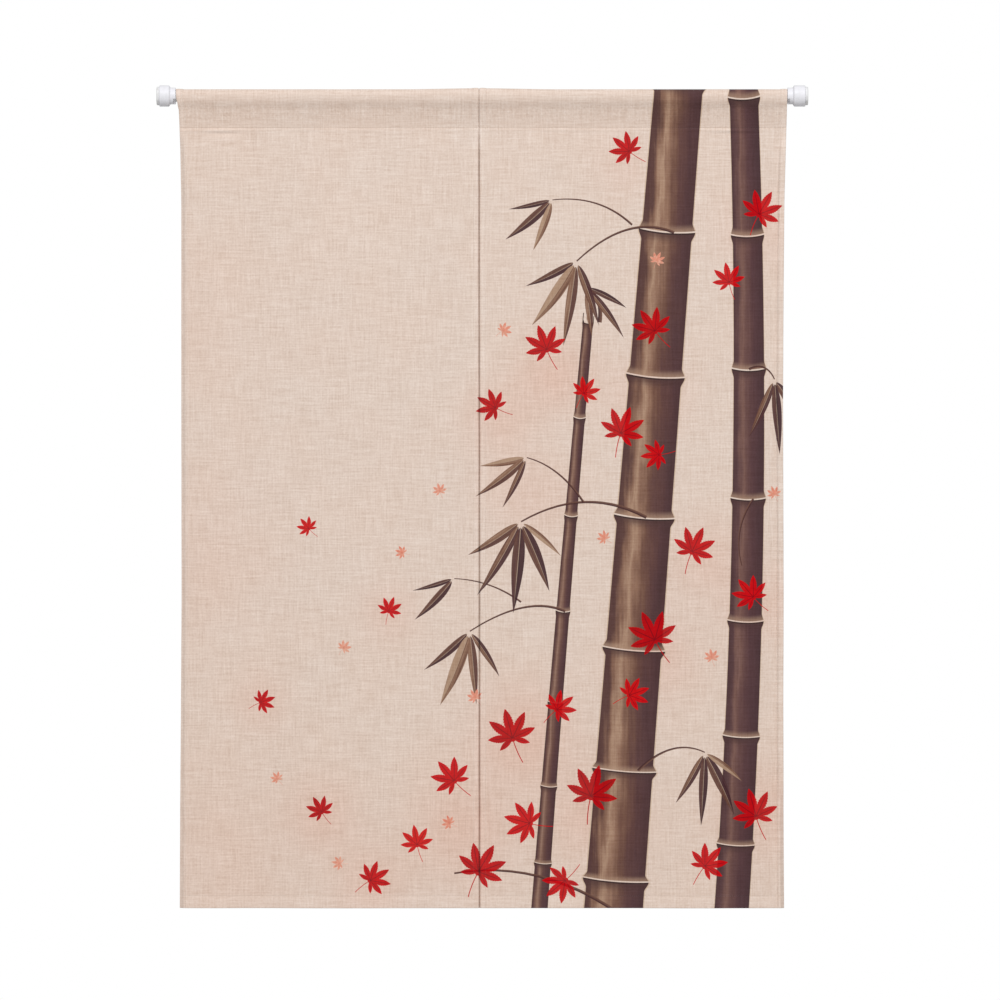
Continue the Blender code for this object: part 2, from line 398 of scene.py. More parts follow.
# How close together the rows of the grid lie: over the field, over the creases and round the pocket
FIELD_PITCH = 4.55 * MM
CREASE_PITCH = 1.5 * MM
CREASED_FROM, CREASED_TO = -64.0 * MM, POCKET_SEAM - 4.0 * MM
POCKET_PITCH = 1.7 * MM

# The four upright edges at each height: height, left outer, left slit, right slit, right outer
HEIGHT, LEFT_OUTER, LEFT_SLIT, RIGHT_SLIT, RIGHT_OUTER = range(5)
EDGES = np.array([
    (0.0, 27.1, 452.9, 453.0, 885.8),
    (-8.0, 28.3, 452.9, 453.0, 885.4),
    (-15.0, 30.9, 452.9, 453.0, 885.3),
    (-30.0, 31.7, 452.9, 453.0, 885.1),
    (-46.0, 32.1, 452.9, 453.0, 884.7),
    (-75.0, 33.0, 452.9, 453.1, 883.8),
    (-105.0, 33.5, 452.9, 453.1, 882.9),
    (-150.0, 34.3, 453.0, 453.2, 881.8),
    (-280.0, 34.3, 453.0, 453.2, 880.7),
    (-430.0, 34.3, 453.2, 453.4, 879.9),
    (-700.0, 34.7, 453.4, 453.6, 880.8),
    (-850.0, 33.9, 453.4, 453.6, 880.3),
    (-990.0, 32.8, 453.4, 453.6, 880.7),
    (-1142.0, 32.1, 453.5, 453.7, 881.6),
])[::-1] * MM
EDGE_BLUR = 5.0 * MM

# Soft upright folds: middle, half width, how far forward, height where it starts, height where it is full
FOLDS = np.array([
    (33.0, 48.0, -3.0, -60.0, -180.0),
    (131.0, 92.0, -3.6, -90.0, -240.0),
    (279.0, 112.0, 3.2, -90.0, -260.0),
    (410.0, 70.0, -1.2, -130.0, -420.0),
    (520.0, 80.0, -1.0, -130.0, -500.0),
    (622.0, 100.0, -3.0, -70.0, -280.0),
    (764.0, 96.0, 3.6, -110.0, -300.0),
    (881.0, 46.0, -2.4, -60.0, -240.0),
]) * MM

# How the pocket's front leans back under the rod: distance below the rod's axis, lean in degrees
FRONT_LEANS = np.array([
    (0.0, 0.0), (4.2, 5.5), (7.0, 13.0), (9.0, 19.0), (12.6, 24.0),
    (17.0, 20.0), (20.5, 12.5), (35.0, 9.0), (42.0, 7.0), (45.0, 2.0),
])

# Small creases the seam draws in the cloth: middle, height, half width, half height, how far forward
CREASES = np.array([
    (86.0, -48.6, 42.0, 3.4, 0.75),
    (93.0, -53.4, 34.0, 4.4, -0.90),
    (100.0, -62.0, 30.0, 4.5, 0.20),
    (44.0, -49.4, 18.0, 3.2, 0.45),
    (205.0, -51.0, 44.0, 2.8, -0.20),
    (330.0, -51.5, 38.0, 3.2, 0.18),
    (560.0, -51.2, 46.0, 3.0, -0.20),
    (660.0, -52.0, 40.0, 3.4, 0.18),
    (806.0, -48.6, 40.0, 3.4, 0.65),
    (816.0, -53.2, 32.0, 4.2, -0.80),
    (812.0, -61.0, 24.0, 4.2, 0.20),
    (150.0, -14.5, 60.0, 2.4, -0.35),
    (262.0, -13.5, 48.0, 2.6, -0.45),
    (376.0, -15.0, 50.0, 2.4, -0.30),
    (540.0, -14.0, 55.0, 2.4, -0.40),
    (655.0, -15.5, 48.0, 2.6, -0.35),
    (790.0, -14.0, 60.0, 2.4, -0.35),
]) * MM

# Where the panels meet over the rod both lift a little: middle, half width, rise
JOIN_LIFT = (453.5 * MM, 105.0 * MM, 1.4 * MM)

# The slow unevenness of hand-hung cloth, as waves: period along the edge, start in turns, height
HEM_WAVES = np.array([(171.0, 0.12, 0.55), (97.0, 0.61, 0.30), (43.0, 0.33, 0.14), (23.0, 0.80, 0.07)])
# How far along the waves, in turns, the side edges, the foot and the ridge under the seam start
SIDE_SHIFT, FOOT_SHIFT, RIDGE_SHIFT = 0.37, 0.21, 0.5
EDGE_WAVE_REACH = 34.0 * MM
FOOT_WAVE_REACH = 90.0 * MM
FOOT_WAVES = 1.6

# How the outer hems turn out of the cloth's plane: edge, from and to which distance in, how far back the
# hem goes, height where it starts, height where it is full
HEM_TURNS = (
    (LEFT_OUTER, 1.0, 7.8, 4.6, -49.0, -83.0),
    (RIGHT_OUTER, 6.2, 9.6, -3.8, -49.0, -83.0),
    (RIGHT_OUTER, 6.2, 9.6, 1.2, -950.0, -1030.0),
    (RIGHT_OUTER, 0.4, 7.6, 5.4, -950.0, -1030.0),
)

# The cloth hangs freely below the pocket's seam: height where that starts, and over what drop
HANGS_FROM, HANGS_OVER = -49.0 * MM, 34.0 * MM
# A thin ridge rolls forward under the seam: height, reach, how far forward, how uneven it is
SEAM_ROLL = (-48.2 * MM, 3.4 * MM, 0.26 * MM, 0.45)
# Each edge at the slit rolls back a little as it hangs: distance in, how far back
SLIT_ROLL = (6.0 * MM, 0.8 * MM)

# At the slit each edge also hooks back, within a narrow reach, by a depth of its own. Below the stitches
# that join the panels, the left edge laps a little behind the right one: reach, how far
SLIT_REACH = 1.7 * MM
LEFT_HOOK, RIGHT_HOOK = 5.4 * MM, 2.4 * MM
SLIT_LAP = (0.25 * MM, 0.8 * MM)
JOINED_TO = -68.0 * MM
# The share of the hook at each height, since the rod, the seam and the joining stitches hold the edges
HOOK_SHARES = np.array([
    (-80.0, 1.0), (-68.0, 0.5), (-58.0, 0.5), (-52.0, 0.0),
    (-42.0, 0.0), (-36.0, 0.3), (-18.0, 0.3), (-8.0, 0.08),
])

# The thread pulls the cloth in along each seam: reach, depth, and how many times that at the pocket
STITCH_DIP = (0.9 * MM, 0.26 * MM, 1.3)
# Between their fold and their thread the hems puff up: how far, and the reach at the sides and at the foot
HEM_PUFF = (0.16 * MM, 3.6 * MM, 8.0 * MM)
# Round the rod the side hems are pressed thinner: the share pressed out, and over what length from the seam
HEM_PRESSED, PRESSED_OVER = 0.45, 16.0 * MM
# Down the pocket's back the hem stands out behind: its share, where that starts, and over what length
BACK_SHARE, BACK_FROM, BACK_OVER = 0.95, 60.0 * MM, 44.0 * MM
# The pocket's front is gathered by its seam, most of all at a height above the seam
GATHER_MIDDLE, GATHER_REACH = 22.0 * MM, 26.0 * MM
# Painted shade on the cloth from the seam up and below the rod, where the back layer and the rod keep light
# from coming through: from where, and over what length
POCKET_SHADE_FROM, POCKET_SHADE_OVER = -1.0 * MM, 2.0 * MM
UNDER_ROD_FROM, UNDER_ROD_OVER = -1.0 * MM, 8.0 * MM


def spaced(first, last, pitch):
    """Even places from first to last, no further apart than the pitch."""
    return np.linspace(first, last, max(2, math.ceil(abs(last - first) / pitch) + 1))


def hem_places(fold_round, stitch, step):
    """Distances in from a hem's folded edge, close together at the fold, the stitches and the step."""
    fold = fold_round * (1.0 - np.cos(np.linspace(0.0, math.pi / 2, 6)))
    flat = spaced(fold_round, stitch - 0.8 * MM, 1.7 * MM)[1:]
    sewn = [stitch, stitch + 0.6 * MM]
    edge = [step - 0.15 * MM, step, step + HEM_STEP * 0.5, step + HEM_STEP, step + 1.2 * MM]
    return np.concatenate([fold, flat, sewn, edge])


def edge_place(height, column):
    """Where an upright edge lies at a height: the table's value, blurred a little up and down."""
    lower = np.interp(height - EDGE_BLUR, EDGES[:, HEIGHT], EDGES[:, column])
    upper = np.interp(height + EDGE_BLUR, EDGES[:, HEIGHT], EDGES[:, column])
    return (lower + upper) / 2


def fold_depth(across, height):
    """How far back the cloth lies: each fold is a bell across, eased in between its two heights."""
    depth = np.zeros_like(across)
    for middle, half_width, forward, start, full in FOLDS:
        depth -= forward * bell((across - middle) / half_width) * ease((start - height) / (start - full))
    return depth


def crease_depth(across, height):
    """How far back the small creases lie: each is a bell across times a bell up."""
    depth = np.zeros_like(across)
    for middle, place, half_width, half_height, forward in CREASES:
        depth -= forward * bell((across - middle) / half_width) * bell((height - place) / half_height)
    return depth


def wave(length, shift):
    """A sum of sines of the wave table, in metres, moved along by a shift in turns."""
    turns = np.asarray(length)[..., None] / (HEM_WAVES[:, 0] * MM) + HEM_WAVES[:, 1] + shift
    return (np.sin(2.0 * math.pi * turns) * HEM_WAVES[:, 2]).sum(axis=-1) * MM


def pocket_path():
    """Depths and heights of the cloth from its seam up the pocket's front, over the rod and down its back.

    The front falls from the rod's front with the leans of the table, whose tangents are summed down to the
    seam. The top is an arc round the rod, and the back runs straight to the seam's back.
    """
    fall = np.linspace(0.0, 1.0, 240)
    lean = np.interp(fall * -POCKET_SEAM, FRONT_LEANS[:, 0] * MM, FRONT_LEANS[:, 1])
    back = np.cumsum(np.tan(np.radians(lean)))
    front = np.stack([POCKET_RADIUS * (back / back[-1] - 1.0), fall * POCKET_SEAM], axis=1)[::-1]

    reach = math.hypot(FLAP_DEPTH, POCKET_SEAM)
    back_angle = 2.0 * math.pi + math.atan2(POCKET_SEAM, -FLAP_DEPTH) - math.acos(POCKET_RADIUS / reach)
    turn = np.linspace(0.0, back_angle, 300)
    arc = np.stack([-POCKET_RADIUS * np.cos(turn), POCKET_RADIUS * np.sin(turn)], axis=1)
    back = arc[-1] + fall[:, None] * (np.array([FLAP_DEPTH, POCKET_SEAM]) - arc[-1])
    return np.concatenate([front, arc[1:], back[1:]])


def panel_rows():
    """The rows of the cloth from its foot to its turned edge: depth, height, length along the cloth from
    the seam (negative below it), and the number of the seam's row."""
    hem = FOOT + hem_places(EDGE_ROUND, BOTTOM_STITCH, BOTTOM_HEM)
    field = spaced(hem[-1], CREASED_FROM, FIELD_PITCH)[1:]
    creased = spaced(CREASED_FROM, CREASED_TO, CREASE_PITCH)[1:]
    sewn = POCKET_SEAM - np.array([3.2, 2.5, 1.8, 1.2, 0.6]) * MM
    front = np.concatenate([hem, field, creased, sewn, [POCKET_SEAM]])

    path = pocket_path()
    length = np.concatenate([[0.0], np.cumsum(np.hypot(*np.diff(path, axis=0).T))])
    near = np.array([0.5, 1.0]) * MM
    middle = spaced(1.6 * MM, length[-1] - 1.6 * MM, POCKET_PITCH)
    along = np.concatenate([near, middle, length[-1] - near[::-1], [length[-1]]])
    depth = np.interp(along, length, path[:, 0])
    height = np.interp(along, length, path[:, 1])

    round_end = EDGE_ROUND * (1.0 - np.cos(np.linspace(0.0, math.pi / 2, 5)))[::-1]
    flap = np.concatenate([[0.7 * MM, 1.5 * MM, 3.2 * MM], TURNED_EDGE - round_end])
    return SimpleNamespace(
        depth=np.concatenate([0.0 * front, depth, FLAP_DEPTH + 0.0 * flap]),
        height=np.concatenate([front, height, POCKET_SEAM - flap]),
        length=np.concatenate([front - POCKET_SEAM, along, length[-1] + flap]),
        seam=len(front) - 1,
        back_seam=len(front) + len(along) - 1,
    )


def panel_columns(left, right):
    """Distances of each row's columns in from its left edge and from its right edge."""
    hem = hem_places(SIDE_ROUND, SIDE_STITCH, SIDE_HEM)
    width = (right - left)[:, None]
    count = math.ceil((width.mean() - 2 * hem[-1]) / FIELD_PITCH)
    share = np.linspace(0.0, 1.0, count + 1)[1:-1]
    field = hem[-1] + share * (width - 2 * hem[-1])
    edge = np.repeat(hem[None], len(left), axis=0)
    from_left = np.concatenate([edge, field, width - edge[:, ::-1]], axis=1)
    return from_left, width - from_left


def panel_grid(left_column, right_column):
    """The grid of one panel: the place across, the height and the length along the cloth at each row and
    column, and the distances in from each edge. The cloth folds at its outer edge, its slit edge, its foot
    and its end."""
    rows = panel_rows()
    left, right = (edge_place(rows.height, column)[:, None] for column in (left_column, right_column))
    from_left, from_right = panel_columns(left[:, 0], right[:, 0])
    is_left = left_column == LEFT_OUTER
    columns = from_left.shape[1]
    in_front = (np.arange(len(rows.height)) <= rows.seam)[:, None]
    tall = np.repeat(rows.height[:, None], columns, axis=1)
    along = np.repeat(rows.length[:, None], columns, axis=1)
    return SimpleNamespace(
        rows=rows,
        edges=(left_column, right_column),
        is_left=is_left,
        in_front=in_front,
        across=left + from_left,
        tall=tall,
        along=along,
        inset=np.minimum(from_left, from_right),
        outer_edge=from_left if is_left else from_right,
        slit_edge=from_right if is_left else from_left,
        foot=np.where(in_front, tall - FOOT, 1.0),
        end=rows.length[-1] - along,
        mirrored=np.where(from_left < from_right, left - from_left, right + from_right),
    )


def hung_depth(grid):
    """How far back the front of a panel hangs: its folds, its creases, the turns of its hems, the roll at
    the slit, the waves along its edges and foot, and the thin ridge under the seam, all added up."""
    across, tall = grid.across, grid.tall
    hanging = ease((HANGS_FROM - tall) / HANGS_OVER)
    depth = fold_depth(across, tall) + crease_depth(across, tall)
    for edge, start, end, back, top, full in HEM_TURNS:
        if edge in grid.edges:
            turned = 1.0 - ease((grid.outer_edge / MM - start) / (end - start))
            depth += back * MM * turned * ease((top - tall / MM) / (top - full))
    roll_in, slit_roll = SLIT_ROLL
    depth += hanging * slit_roll * (1.0 - ease(grid.slit_edge / roll_in))
    depth += hanging * wave(tall, SIDE_SHIFT * grid.edges[0]) * bell(grid.inset / EDGE_WAVE_REACH)
    depth += FOOT_WAVES * wave(across, FOOT_SHIFT) * bell((tall - FOOT) / FOOT_WAVE_REACH)
    roll_height, roll_reach, roll, uneven = SEAM_ROLL
    roll = roll * (1.0 + uneven * wave(across, RIDGE_SHIFT) / MM)
    depth -= roll * bell((tall - roll_height) / roll_reach)
    return depth * grid.in_front


def hung_points(grid):
    """The middle of the cloth as points: where it hangs, lifted a little over the rod at the join."""
    middle, half_width, rise = JOIN_LIFT
    lift = rise * bell((grid.across - middle) / half_width) * ease(grid.tall / POCKET_RADIUS)
    depth = grid.rows.depth[:, None] + hung_depth(grid)
    return np.stack([grid.across, depth, grid.tall + lift], axis=2)


def hem_thickness(grid):
    """How much thicker the hems are, how far they shift the cloth out, and where it is double.

    Each hem ends in an eased step. Where a side hem meets the foot's, the two thicknesses add up as a
    hypotenuse.
    """
    side_hem = ease((SIDE_HEM + HEM_STEP - grid.inset) / HEM_STEP)
    foot_hem = ease((BOTTOM_HEM + HEM_STEP - grid.foot) / HEM_STEP)
    in_pocket = ease(grid.along / PRESSED_OVER)
    at_back = ease((grid.along - BACK_FROM) / BACK_OVER)
    extra = HEM_EXTRA * np.hypot(side_hem * (1.0 - HEM_PRESSED * in_pocket), foot_hem)
    shift = HEM_EXTRA * side_hem * ((1.0 - HEM_PRESSED) * in_pocket + BACK_SHARE * at_back)
    return extra, shift, np.maximum(side_hem, foot_hem)


def edge_rounds(grid):
    """The share of the cloth's thickness left near its edges: 1 - (1 - distance / radius) squared, to a
    power that is one half for a half round. All four edges' shares are multiplied."""
    rounds = (
        (grid.outer_edge, SIDE_ROUND, 0.5),
        (grid.slit_edge, SLIT_ROUND, SLIT_POWER),
        (grid.foot, EDGE_ROUND, 0.5),
        (grid.end, EDGE_ROUND, 0.5),
    )
    share = 1.0
    for distance, radius, power in rounds:
        share = share * (1.0 - (1.0 - np.clip(distance / radius, 0.0, 1.0)) ** 2) ** power
    return share


def slit_hook(grid):
    """How far the slit's edge goes across and back: each is its size times (1 - distance / reach) squared,
    in the share that the table gives for the height."""
    share = np.interp(grid.tall, HOOK_SHARES[:, 0] * MM, HOOK_SHARES[:, 1]) * (grid.along < -POCKET_SEAM)
    hook = share * np.clip(1.0 - grid.slit_edge / SLIT_REACH, 0.0, 1.0) ** 2
    if not grid.is_left:
        return 0.0 * hook, RIGHT_HOOK * hook
    lap_reach, lap = SLIT_LAP
    lapped = (grid.tall < JOINED_TO) * share * np.clip(1.0 - grid.slit_edge / lap_reach, 0.0, 1.0) ** 2
    return lap * lapped, LEFT_HOOK * hook


def sewn_relief(grid):
    """How far both surfaces stand off the middle: bells between the hems' folds and their threads, less
    bells at the threads."""
    reach, dip, at_pocket = STITCH_DIP
    puff, side_reach, foot_reach = HEM_PUFF
    puffed = bell((grid.inset - SIDE_STITCH / 2) / side_reach)
    puffed = puffed + bell((grid.foot - BOTTOM_STITCH / 2) / foot_reach)
    sewn = bell((grid.inset - SIDE_STITCH) / reach) + bell((grid.foot - BOTTOM_STITCH) / reach)
    back_seam = grid.rows.length[grid.rows.back_seam]
    pocket = bell(grid.along / reach) + bell((grid.along - back_seam) / reach)
    return puff * puffed - dip * np.clip(sewn + at_pocket * pocket, 0.0, at_pocket)


def flat_places(grid):
    """Where the two sides lie on the flat cloth, across and up, and where a hem shows behind. A hem is the
    printed side folded over, so it is mirrored in the fold."""
    in_side_hem = grid.inset < SIDE_HEM + 0.5 * HEM_STEP
    in_foot_hem = grid.foot < BOTTOM_HEM + 0.5 * HEM_STEP
    up = POCKET_SEAM + grid.along
    printed = np.stack([grid.across, up], axis=2)
    plain_across = np.where(in_side_hem, grid.mirrored, grid.across)
    plain_up = np.where(in_foot_hem, 2 * FOOT - grid.tall, up)
    return printed, np.stack([plain_across, plain_up], axis=2), in_side_hem | in_foot_hem


def surface_normals(points):
    """Unit normals of a grid of points: the step along a row crossed with the step up a column."""
    across, up = np.gradient(points, axis=1), np.gradient(points, axis=0)
    normals = np.cross(across, up)
    return normals / np.linalg.norm(normals, axis=2, keepdims=True)


def panel_surfaces(left_column, right_column):
    """The printed and the plain surface of one panel, as grids of points, with what its finish reads.

    Both stand off the middle of the cloth along its normal, by half its thickness and the relief, times the
    share that the rounded edges leave. The hems' extra thickness is all behind. At the slit the surfaces
    meet at the back instead of in the middle, and hook back, which leaves a groove between the panels.
    """
    grid = panel_grid(left_column, right_column)
    extra, shift, doubled = hem_thickness(grid)
    half = (CLOTH + extra) / 2
    share = edge_rounds(grid)
    at_slit = np.where(grid.slit_edge < SLIT_ROUND, half * (1.0 - share), 0.0)
    middle = (shift - extra / 2 - at_slit)[..., None]
    stand_off = ((half + sewn_relief(grid)) * share)[..., None]
    points = hung_points(grid)
    normals = surface_normals(points)
    lap, hook = slit_hook(grid)
    moved = points + np.stack([lap, hook, 0.0 * hook], axis=2)
    flat, turned, hem = flat_places(grid)
    below_rod = ease((UNDER_ROD_FROM - grid.tall) / UNDER_ROD_OVER)
    return SimpleNamespace(
        printed=moved + normals * (middle + stand_off),
        plain=moved + normals * (middle - stand_off),
        normals=normals,
        flat=flat,
        turned=turned,
        hem=hem,
        doubled=doubled,
        gather=bell((grid.along - GATHER_MIDDLE) / GATHER_REACH),
        # painted shade on the pocket's cloth below the rod
        pocket_shade=ease((grid.along - POCKET_SHADE_FROM) / POCKET_SHADE_OVER) * below_rod,
        seam=grid.rows.seam,
        back_seam=grid.rows.back_seam,
    )


def close_panel(surfaces):
    """Joins a panel's two surfaces along their shared rim: points, faces, each face's corners on the flat
    cloth, and which places of the grid have a point of their own behind."""
    shape = surfaces.printed.shape[:2]
    count = shape[0] * shape[1]
    inner = np.zeros(shape, bool)
    inner[1:-1, 1:-1] = True
    number = np.arange(count).reshape(shape)
    number[inner] = count + np.arange(inner.sum())
    quads = grid_faces(*shape)
    back_quads = quads[:, ::-1]
    points = np.concatenate([surfaces.printed.reshape(-1, 3), surfaces.plain[inner]])
    faces = np.concatenate([quads, number.ravel()[back_quads]])
    front_corners = surfaces.flat.reshape(-1, 2)[quads]
    back_corners = surfaces.turned.reshape(-1, 2)[back_quads]
    return points, faces, np.concatenate([front_corners, back_corners]), inner


# The print. A dyer's design of bamboo canes, their leaves and red maple leaves, in browns, purple-brown,
# tan and red, runs across both panels before they are hemmed. It shows through faintly on the plain side.

# What a face's vector holds outside every motif, and how large a face may be to take one
NOWHERE = 9.0
LARGEST_FACE = 12.0 * MM
# How far from its spine a motif is looked for, in half widths, and how far past its ends a face may take it
CANE_REACH, STROKE_REACH, STROKE_MARGIN = 1.3, 1.2, 1.25
END_MARGIN = 0.01

# Canes: foot, bend and top (across, height), half width at foot and top, tone, heights of the joints
CANES_BEHIND = (
    (
        (806, -1165), (848, -560), (822, 72), 24.0, 19.5, 0.92,
        (-1200, -1052, -900, -738, -566, -384, -196, -2, 200),
    ),
    (
        (536, -1165), (566, -760), (606, -318), 11.5, 7.0, 0.60,
        (-1180, -1078, -970, -852, -724, -590, -452, -318),
    ),
)
CANES_IN_FRONT = (
    (
        (640, -1165), (690, -520), (738, 72), 41.0, 33.0, 0.20,
        (-1290, -1102, -948, -778, -592, -394, -190, 18, 230),
    ),
)

# Twigs: start, bend, end (across, height), half width at the start
TWIGS = [
    ((727, -192), (662, -164), (590, -232), 2.3),
    ((668, -181), (622, -138), (556, -146), 1.6),
    ((832, -384), (856, -372), (868, -398), 1.9),
    ((688, -592), (602, -546), (512, -598), 2.5),
    ((600, -571), (566, -520), (520, -508), 1.7),
    ((574, -724), (520, -700), (440, -752), 2.0),
    ((512, -711), (470, -680), (418, -678), 1.4),
    ((676, -948), (724, -900), (770, -922), 1.9),
    ((622, -318), (628, -286), (604, -268), 3.4),
    ((690, -1180), (560, -1068), (418, -1092), 2.8),
    ((838, -566), (808, -610), (822, -660), 1.6),
]

# Sprays of bamboo leaves: the point they hang from, then each leaf's swing from straight down and length
SPRAYS = [
    (590, -232, ((-64, 76), (-35, 104), (-9, 114), (19, 90))),
    (556, -146, ((-78, 60), (-50, 82), (-21, 72))),
    (868, -398, ((-24, 84), (4, 100), (31, 72))),
    (512, -598, ((-58, 84), (-31, 114), (-5, 122), (22, 100), (49, 70))),
    (520, -508, ((-80, 64), (-53, 86), (-26, 74))),
    (440, -752, ((-50, 80), (-22, 106), (5, 98), (33, 72))),
    (418, -678, ((-74, 58), (-44, 76))),
    (770, -922, ((-30, 78), (-3, 98), (25, 92), (52, 62))),
    (604, -268, ((6, 66), (36, 84), (62, 60))),
]
LEAF_SLIMNESS = 0.072
LEAF_STALK = 0.07
LEAF_BEND = 0.07
LEAF_UNEVENNESS = 0.16
LEAF_TONES = (0.15, 0.42, 0.05, 0.70, 0.30)

# Maple leaves: across, height, reach, turn (degrees), tone from deep red 0 to salmon 1
MAPLES = [
    (548, -356, 37, 20, 0.15), (600, -418, 26, -35, 0.40), (476, -438, 30, 60, 0.10),
    (652, -474, 40, -20, 0.20), (500, -902, 43, 15, 0.10), (562, -862, 30, -52, 0.35),
    (418, -962, 36, 40, 0.25), (610, -984, 46, -15, 0.05), (524, -1022, 38, 75, 0.30),
    (452, -1090, 44, -30, 0.12), (366, -1052, 29, 10, 0.45), (574, -1102, 35, 130, 0.20),
    (300, -1102, 31, -60, 0.22), (232, -1006, 25, 30, 0.10), (752, -640, 38, -25, 0.18),
    (838, -704, 33, 40, 0.30), (700, -764, 44, 25, 0.08), (664, -842, 30, -70, 0.35),
    (842, -1012, 41, 15, 0.15), (770, -1082, 35, -40, 0.28), (700, -330, 36, 35, 0.12),
    (846, -166, 37, -30, 0.20), (664, -78, 31, 50, 0.15), (804, -262, 29, 10, 0.32),
    (326, -724, 22, -20, 0.30), (214, -608, 19, 40, 0.40), (146, -852, 22, -70, 0.20),
    (706, -504, 27, 95, 0.30), (398, -556, 13, 15, 0.92), (346, -642, 12, 70, 0.86),
    (262, -776, 13, -40, 0.95), (448, -846, 14, 30, 0.90), (702, -232, 14, -25, 0.92),
    (630, -622, 13, 50, 0.88), (780, -790, 14, 10, 0.90), (258, -1078, 13, 80, 0.94),
    (486, -330, 14, -60, 0.90), (868, -560, 13, 20, 0.90), (170, -960, 12, 35, 0.92),
    (412, -1022, 13, 60, 0.86),
]
MAPLE_MARGIN = 1.12

# Soft salmon blushes behind the leaves: across, height, reach, strength
BLUSHES = np.array([
    (560, -392, 84, 0.34), (478, -452, 70, 0.24), (520, -560, 100, 0.20), (690, -420, 80, 0.24),
    (516, -900, 104, 0.36), (430, -1030, 110, 0.30), (612, -1010, 90, 0.30), (700, -790, 86, 0.28),
    (770, -650, 80, 0.24), (846, -712, 78, 0.26), (838, -190, 76, 0.22), (660, -100, 64, 0.16),
    (232, -1012, 70, 0.26), (300, -1104, 76, 0.24), (840, -1010, 90, 0.28), (328, -724, 58, 0.20),
    (146, -852, 56, 0.18), (60, -640, 170, 0.10), (40, -300, 150, 0.06), (90, -1060, 170, 0.08),
])
BLUSH_FALL = 2.2

# How soft the inks' outlines are: in half widths, and in a maple leaf's reach
LEAF_SOFTNESS, TWIG_SOFTNESS, MAPLE_SOFTNESS = 0.05, 0.12, 0.012

# The inks as ramps: place from 0 to 1, colour
TAN_CANE = (
    (0.00, (0.083, 0.032, 0.030)),
    (0.10, (0.105, 0.045, 0.036)),
    (0.20, (0.265, 0.140, 0.088)),
    (0.31, (0.470, 0.300, 0.200)),
    (0.40, (0.330, 0.185, 0.118)),
    (0.53, (0.175, 0.082, 0.053)),
    (0.68, (0.112, 0.046, 0.040)),
    (0.85, (0.078, 0.030, 0.034)),
    (1.00, (0.060, 0.022, 0.026)),
)
PURPLE_CANE = (
    (0.00, (0.062, 0.024, 0.030)),
    (0.16, (0.090, 0.038, 0.044)),
    (0.30, (0.170, 0.080, 0.070)),
    (0.42, (0.120, 0.052, 0.052)),
    (0.64, (0.078, 0.030, 0.038)),
    (1.00, (0.052, 0.020, 0.027)),
)
CANE_BLOOM = (0.430, 0.275, 0.190)
CANE_UNDER = (0.060, 0.024, 0.026)
CANE_RING = (0.030, 0.011, 0.013)
CANE_RIM = (0.66, 0.50, 0.38)
LEAF_INK = (
    (0.00, (0.052, 0.020, 0.026)),
    (0.30, (0.085, 0.034, 0.036)),
    (0.55, (0.150, 0.068, 0.046)),
    (0.78, (0.260, 0.140, 0.090)),
    (1.00, (0.430, 0.280, 0.190)),
)
LEAF_RIB = (0.50, 0.36, 0.26)
TWIG_DARK, TWIG_LIGHT = (0.062, 0.024, 0.026), (0.170, 0.084, 0.060)
MAPLE_INK = (
    (0.00, (0.430, 0.000, 0.003)),
    (0.30, (0.600, 0.000, 0.004)),
    (0.58, (0.660, 0.010, 0.008)),
    (0.82, (0.760, 0.250, 0.165)),
    (1.00, (0.790, 0.410, 0.300)),
)
MAPLE_VEIN = (0.205, 0.000, 0.006)

# Brush streaks on a cane: scales of the long streaks and of the lumps, and how far each shifts the offset
CANE_STREAKS, STREAK_SHIFT = (190.0, 6.5, 0.0), 0.55
CANE_LUMPS, LUMP_SHIFT = (52.0, 17.0, 0.0), 0.62
# A cane at its joints, in joints passed: the bloom above (from, to, strength), the shade below (from, to,
# its two strengths), the ring (how far below, half width and blur) and the gap (how far above, the same)
BLOOM_FADE = (0.006, 0.060, 0.62)
UNDER_FADE = (-0.090, -0.012, 0.0, 0.75)
RING_BELOW, RING_EDGE = 0.010, (0.004, 0.0065)
GAP_ABOVE, GAP_EDGE = 0.001, (0.0042, 0.0060)
# How far a joint is raised, how far it bows, over what reach the cane swells there and how much
JOINT_RAISED, JOINT_BOW = 0.008, 0.016
SWELL_REACH, SWELL = 0.07, 0.13
# In half widths: where a cane's pale rim starts and its ink ends, and how soft both are
RIM_FROM, CANE_EDGE, CANE_SOFTNESS = 1.0, 1.06, 0.02

# A bamboo leaf: the powers of its share from the root and from the tip, and its breadth, then its streaks,
# how much lighter one half is, and its midrib's half width, strength and fading along the leaf
ROOT_POWER, TIP_POWER, LEAF_BREADTH = 0.6, 1.1, 3.02
LEAF_STREAKS, LEAF_STREAKINESS = (1.6, 5.5, 31.0), 0.9
LIGHT_HALF = 0.32
MIDRIB_EDGE, MIDRIB_STRENGTH, MIDRIB_FADE = (0.035, 0.075), 0.8, (0.55, 0.95)

# A maple leaf's measures, in its own reach: the lobes' turn apart and how much the outer ones shrink, how
# broad a lobe is, its teeth and their depth, the middle that joins the lobes, and the stalk's half width,
# bow and length
LOBE_TURN = math.radians(40.0)
LOBE_SHRINK = 0.045
LOBE_BREADTH = 0.66
TEETH, TOOTH_DEPTH = 11.0, 0.16
MAPLE_HEART = 0.13
STALK_HALF, STALK_BOW, STALK_LENGTH = 0.021, 0.16, 0.86
# Its wash, in scale and strength, and its veins: half width, strength, and how they fade along the lobe and
# with the leaf's tone
WASH_SCALE, WASH_STRENGTH = 2.6, 0.55
VEIN_EDGE, VEIN_STRENGTH = (0.010, 0.018), 0.85
VEIN_FADE, VEIN_TONES = (0.70, 0.92), (0.6, 0.8, 1.0, 0.25)


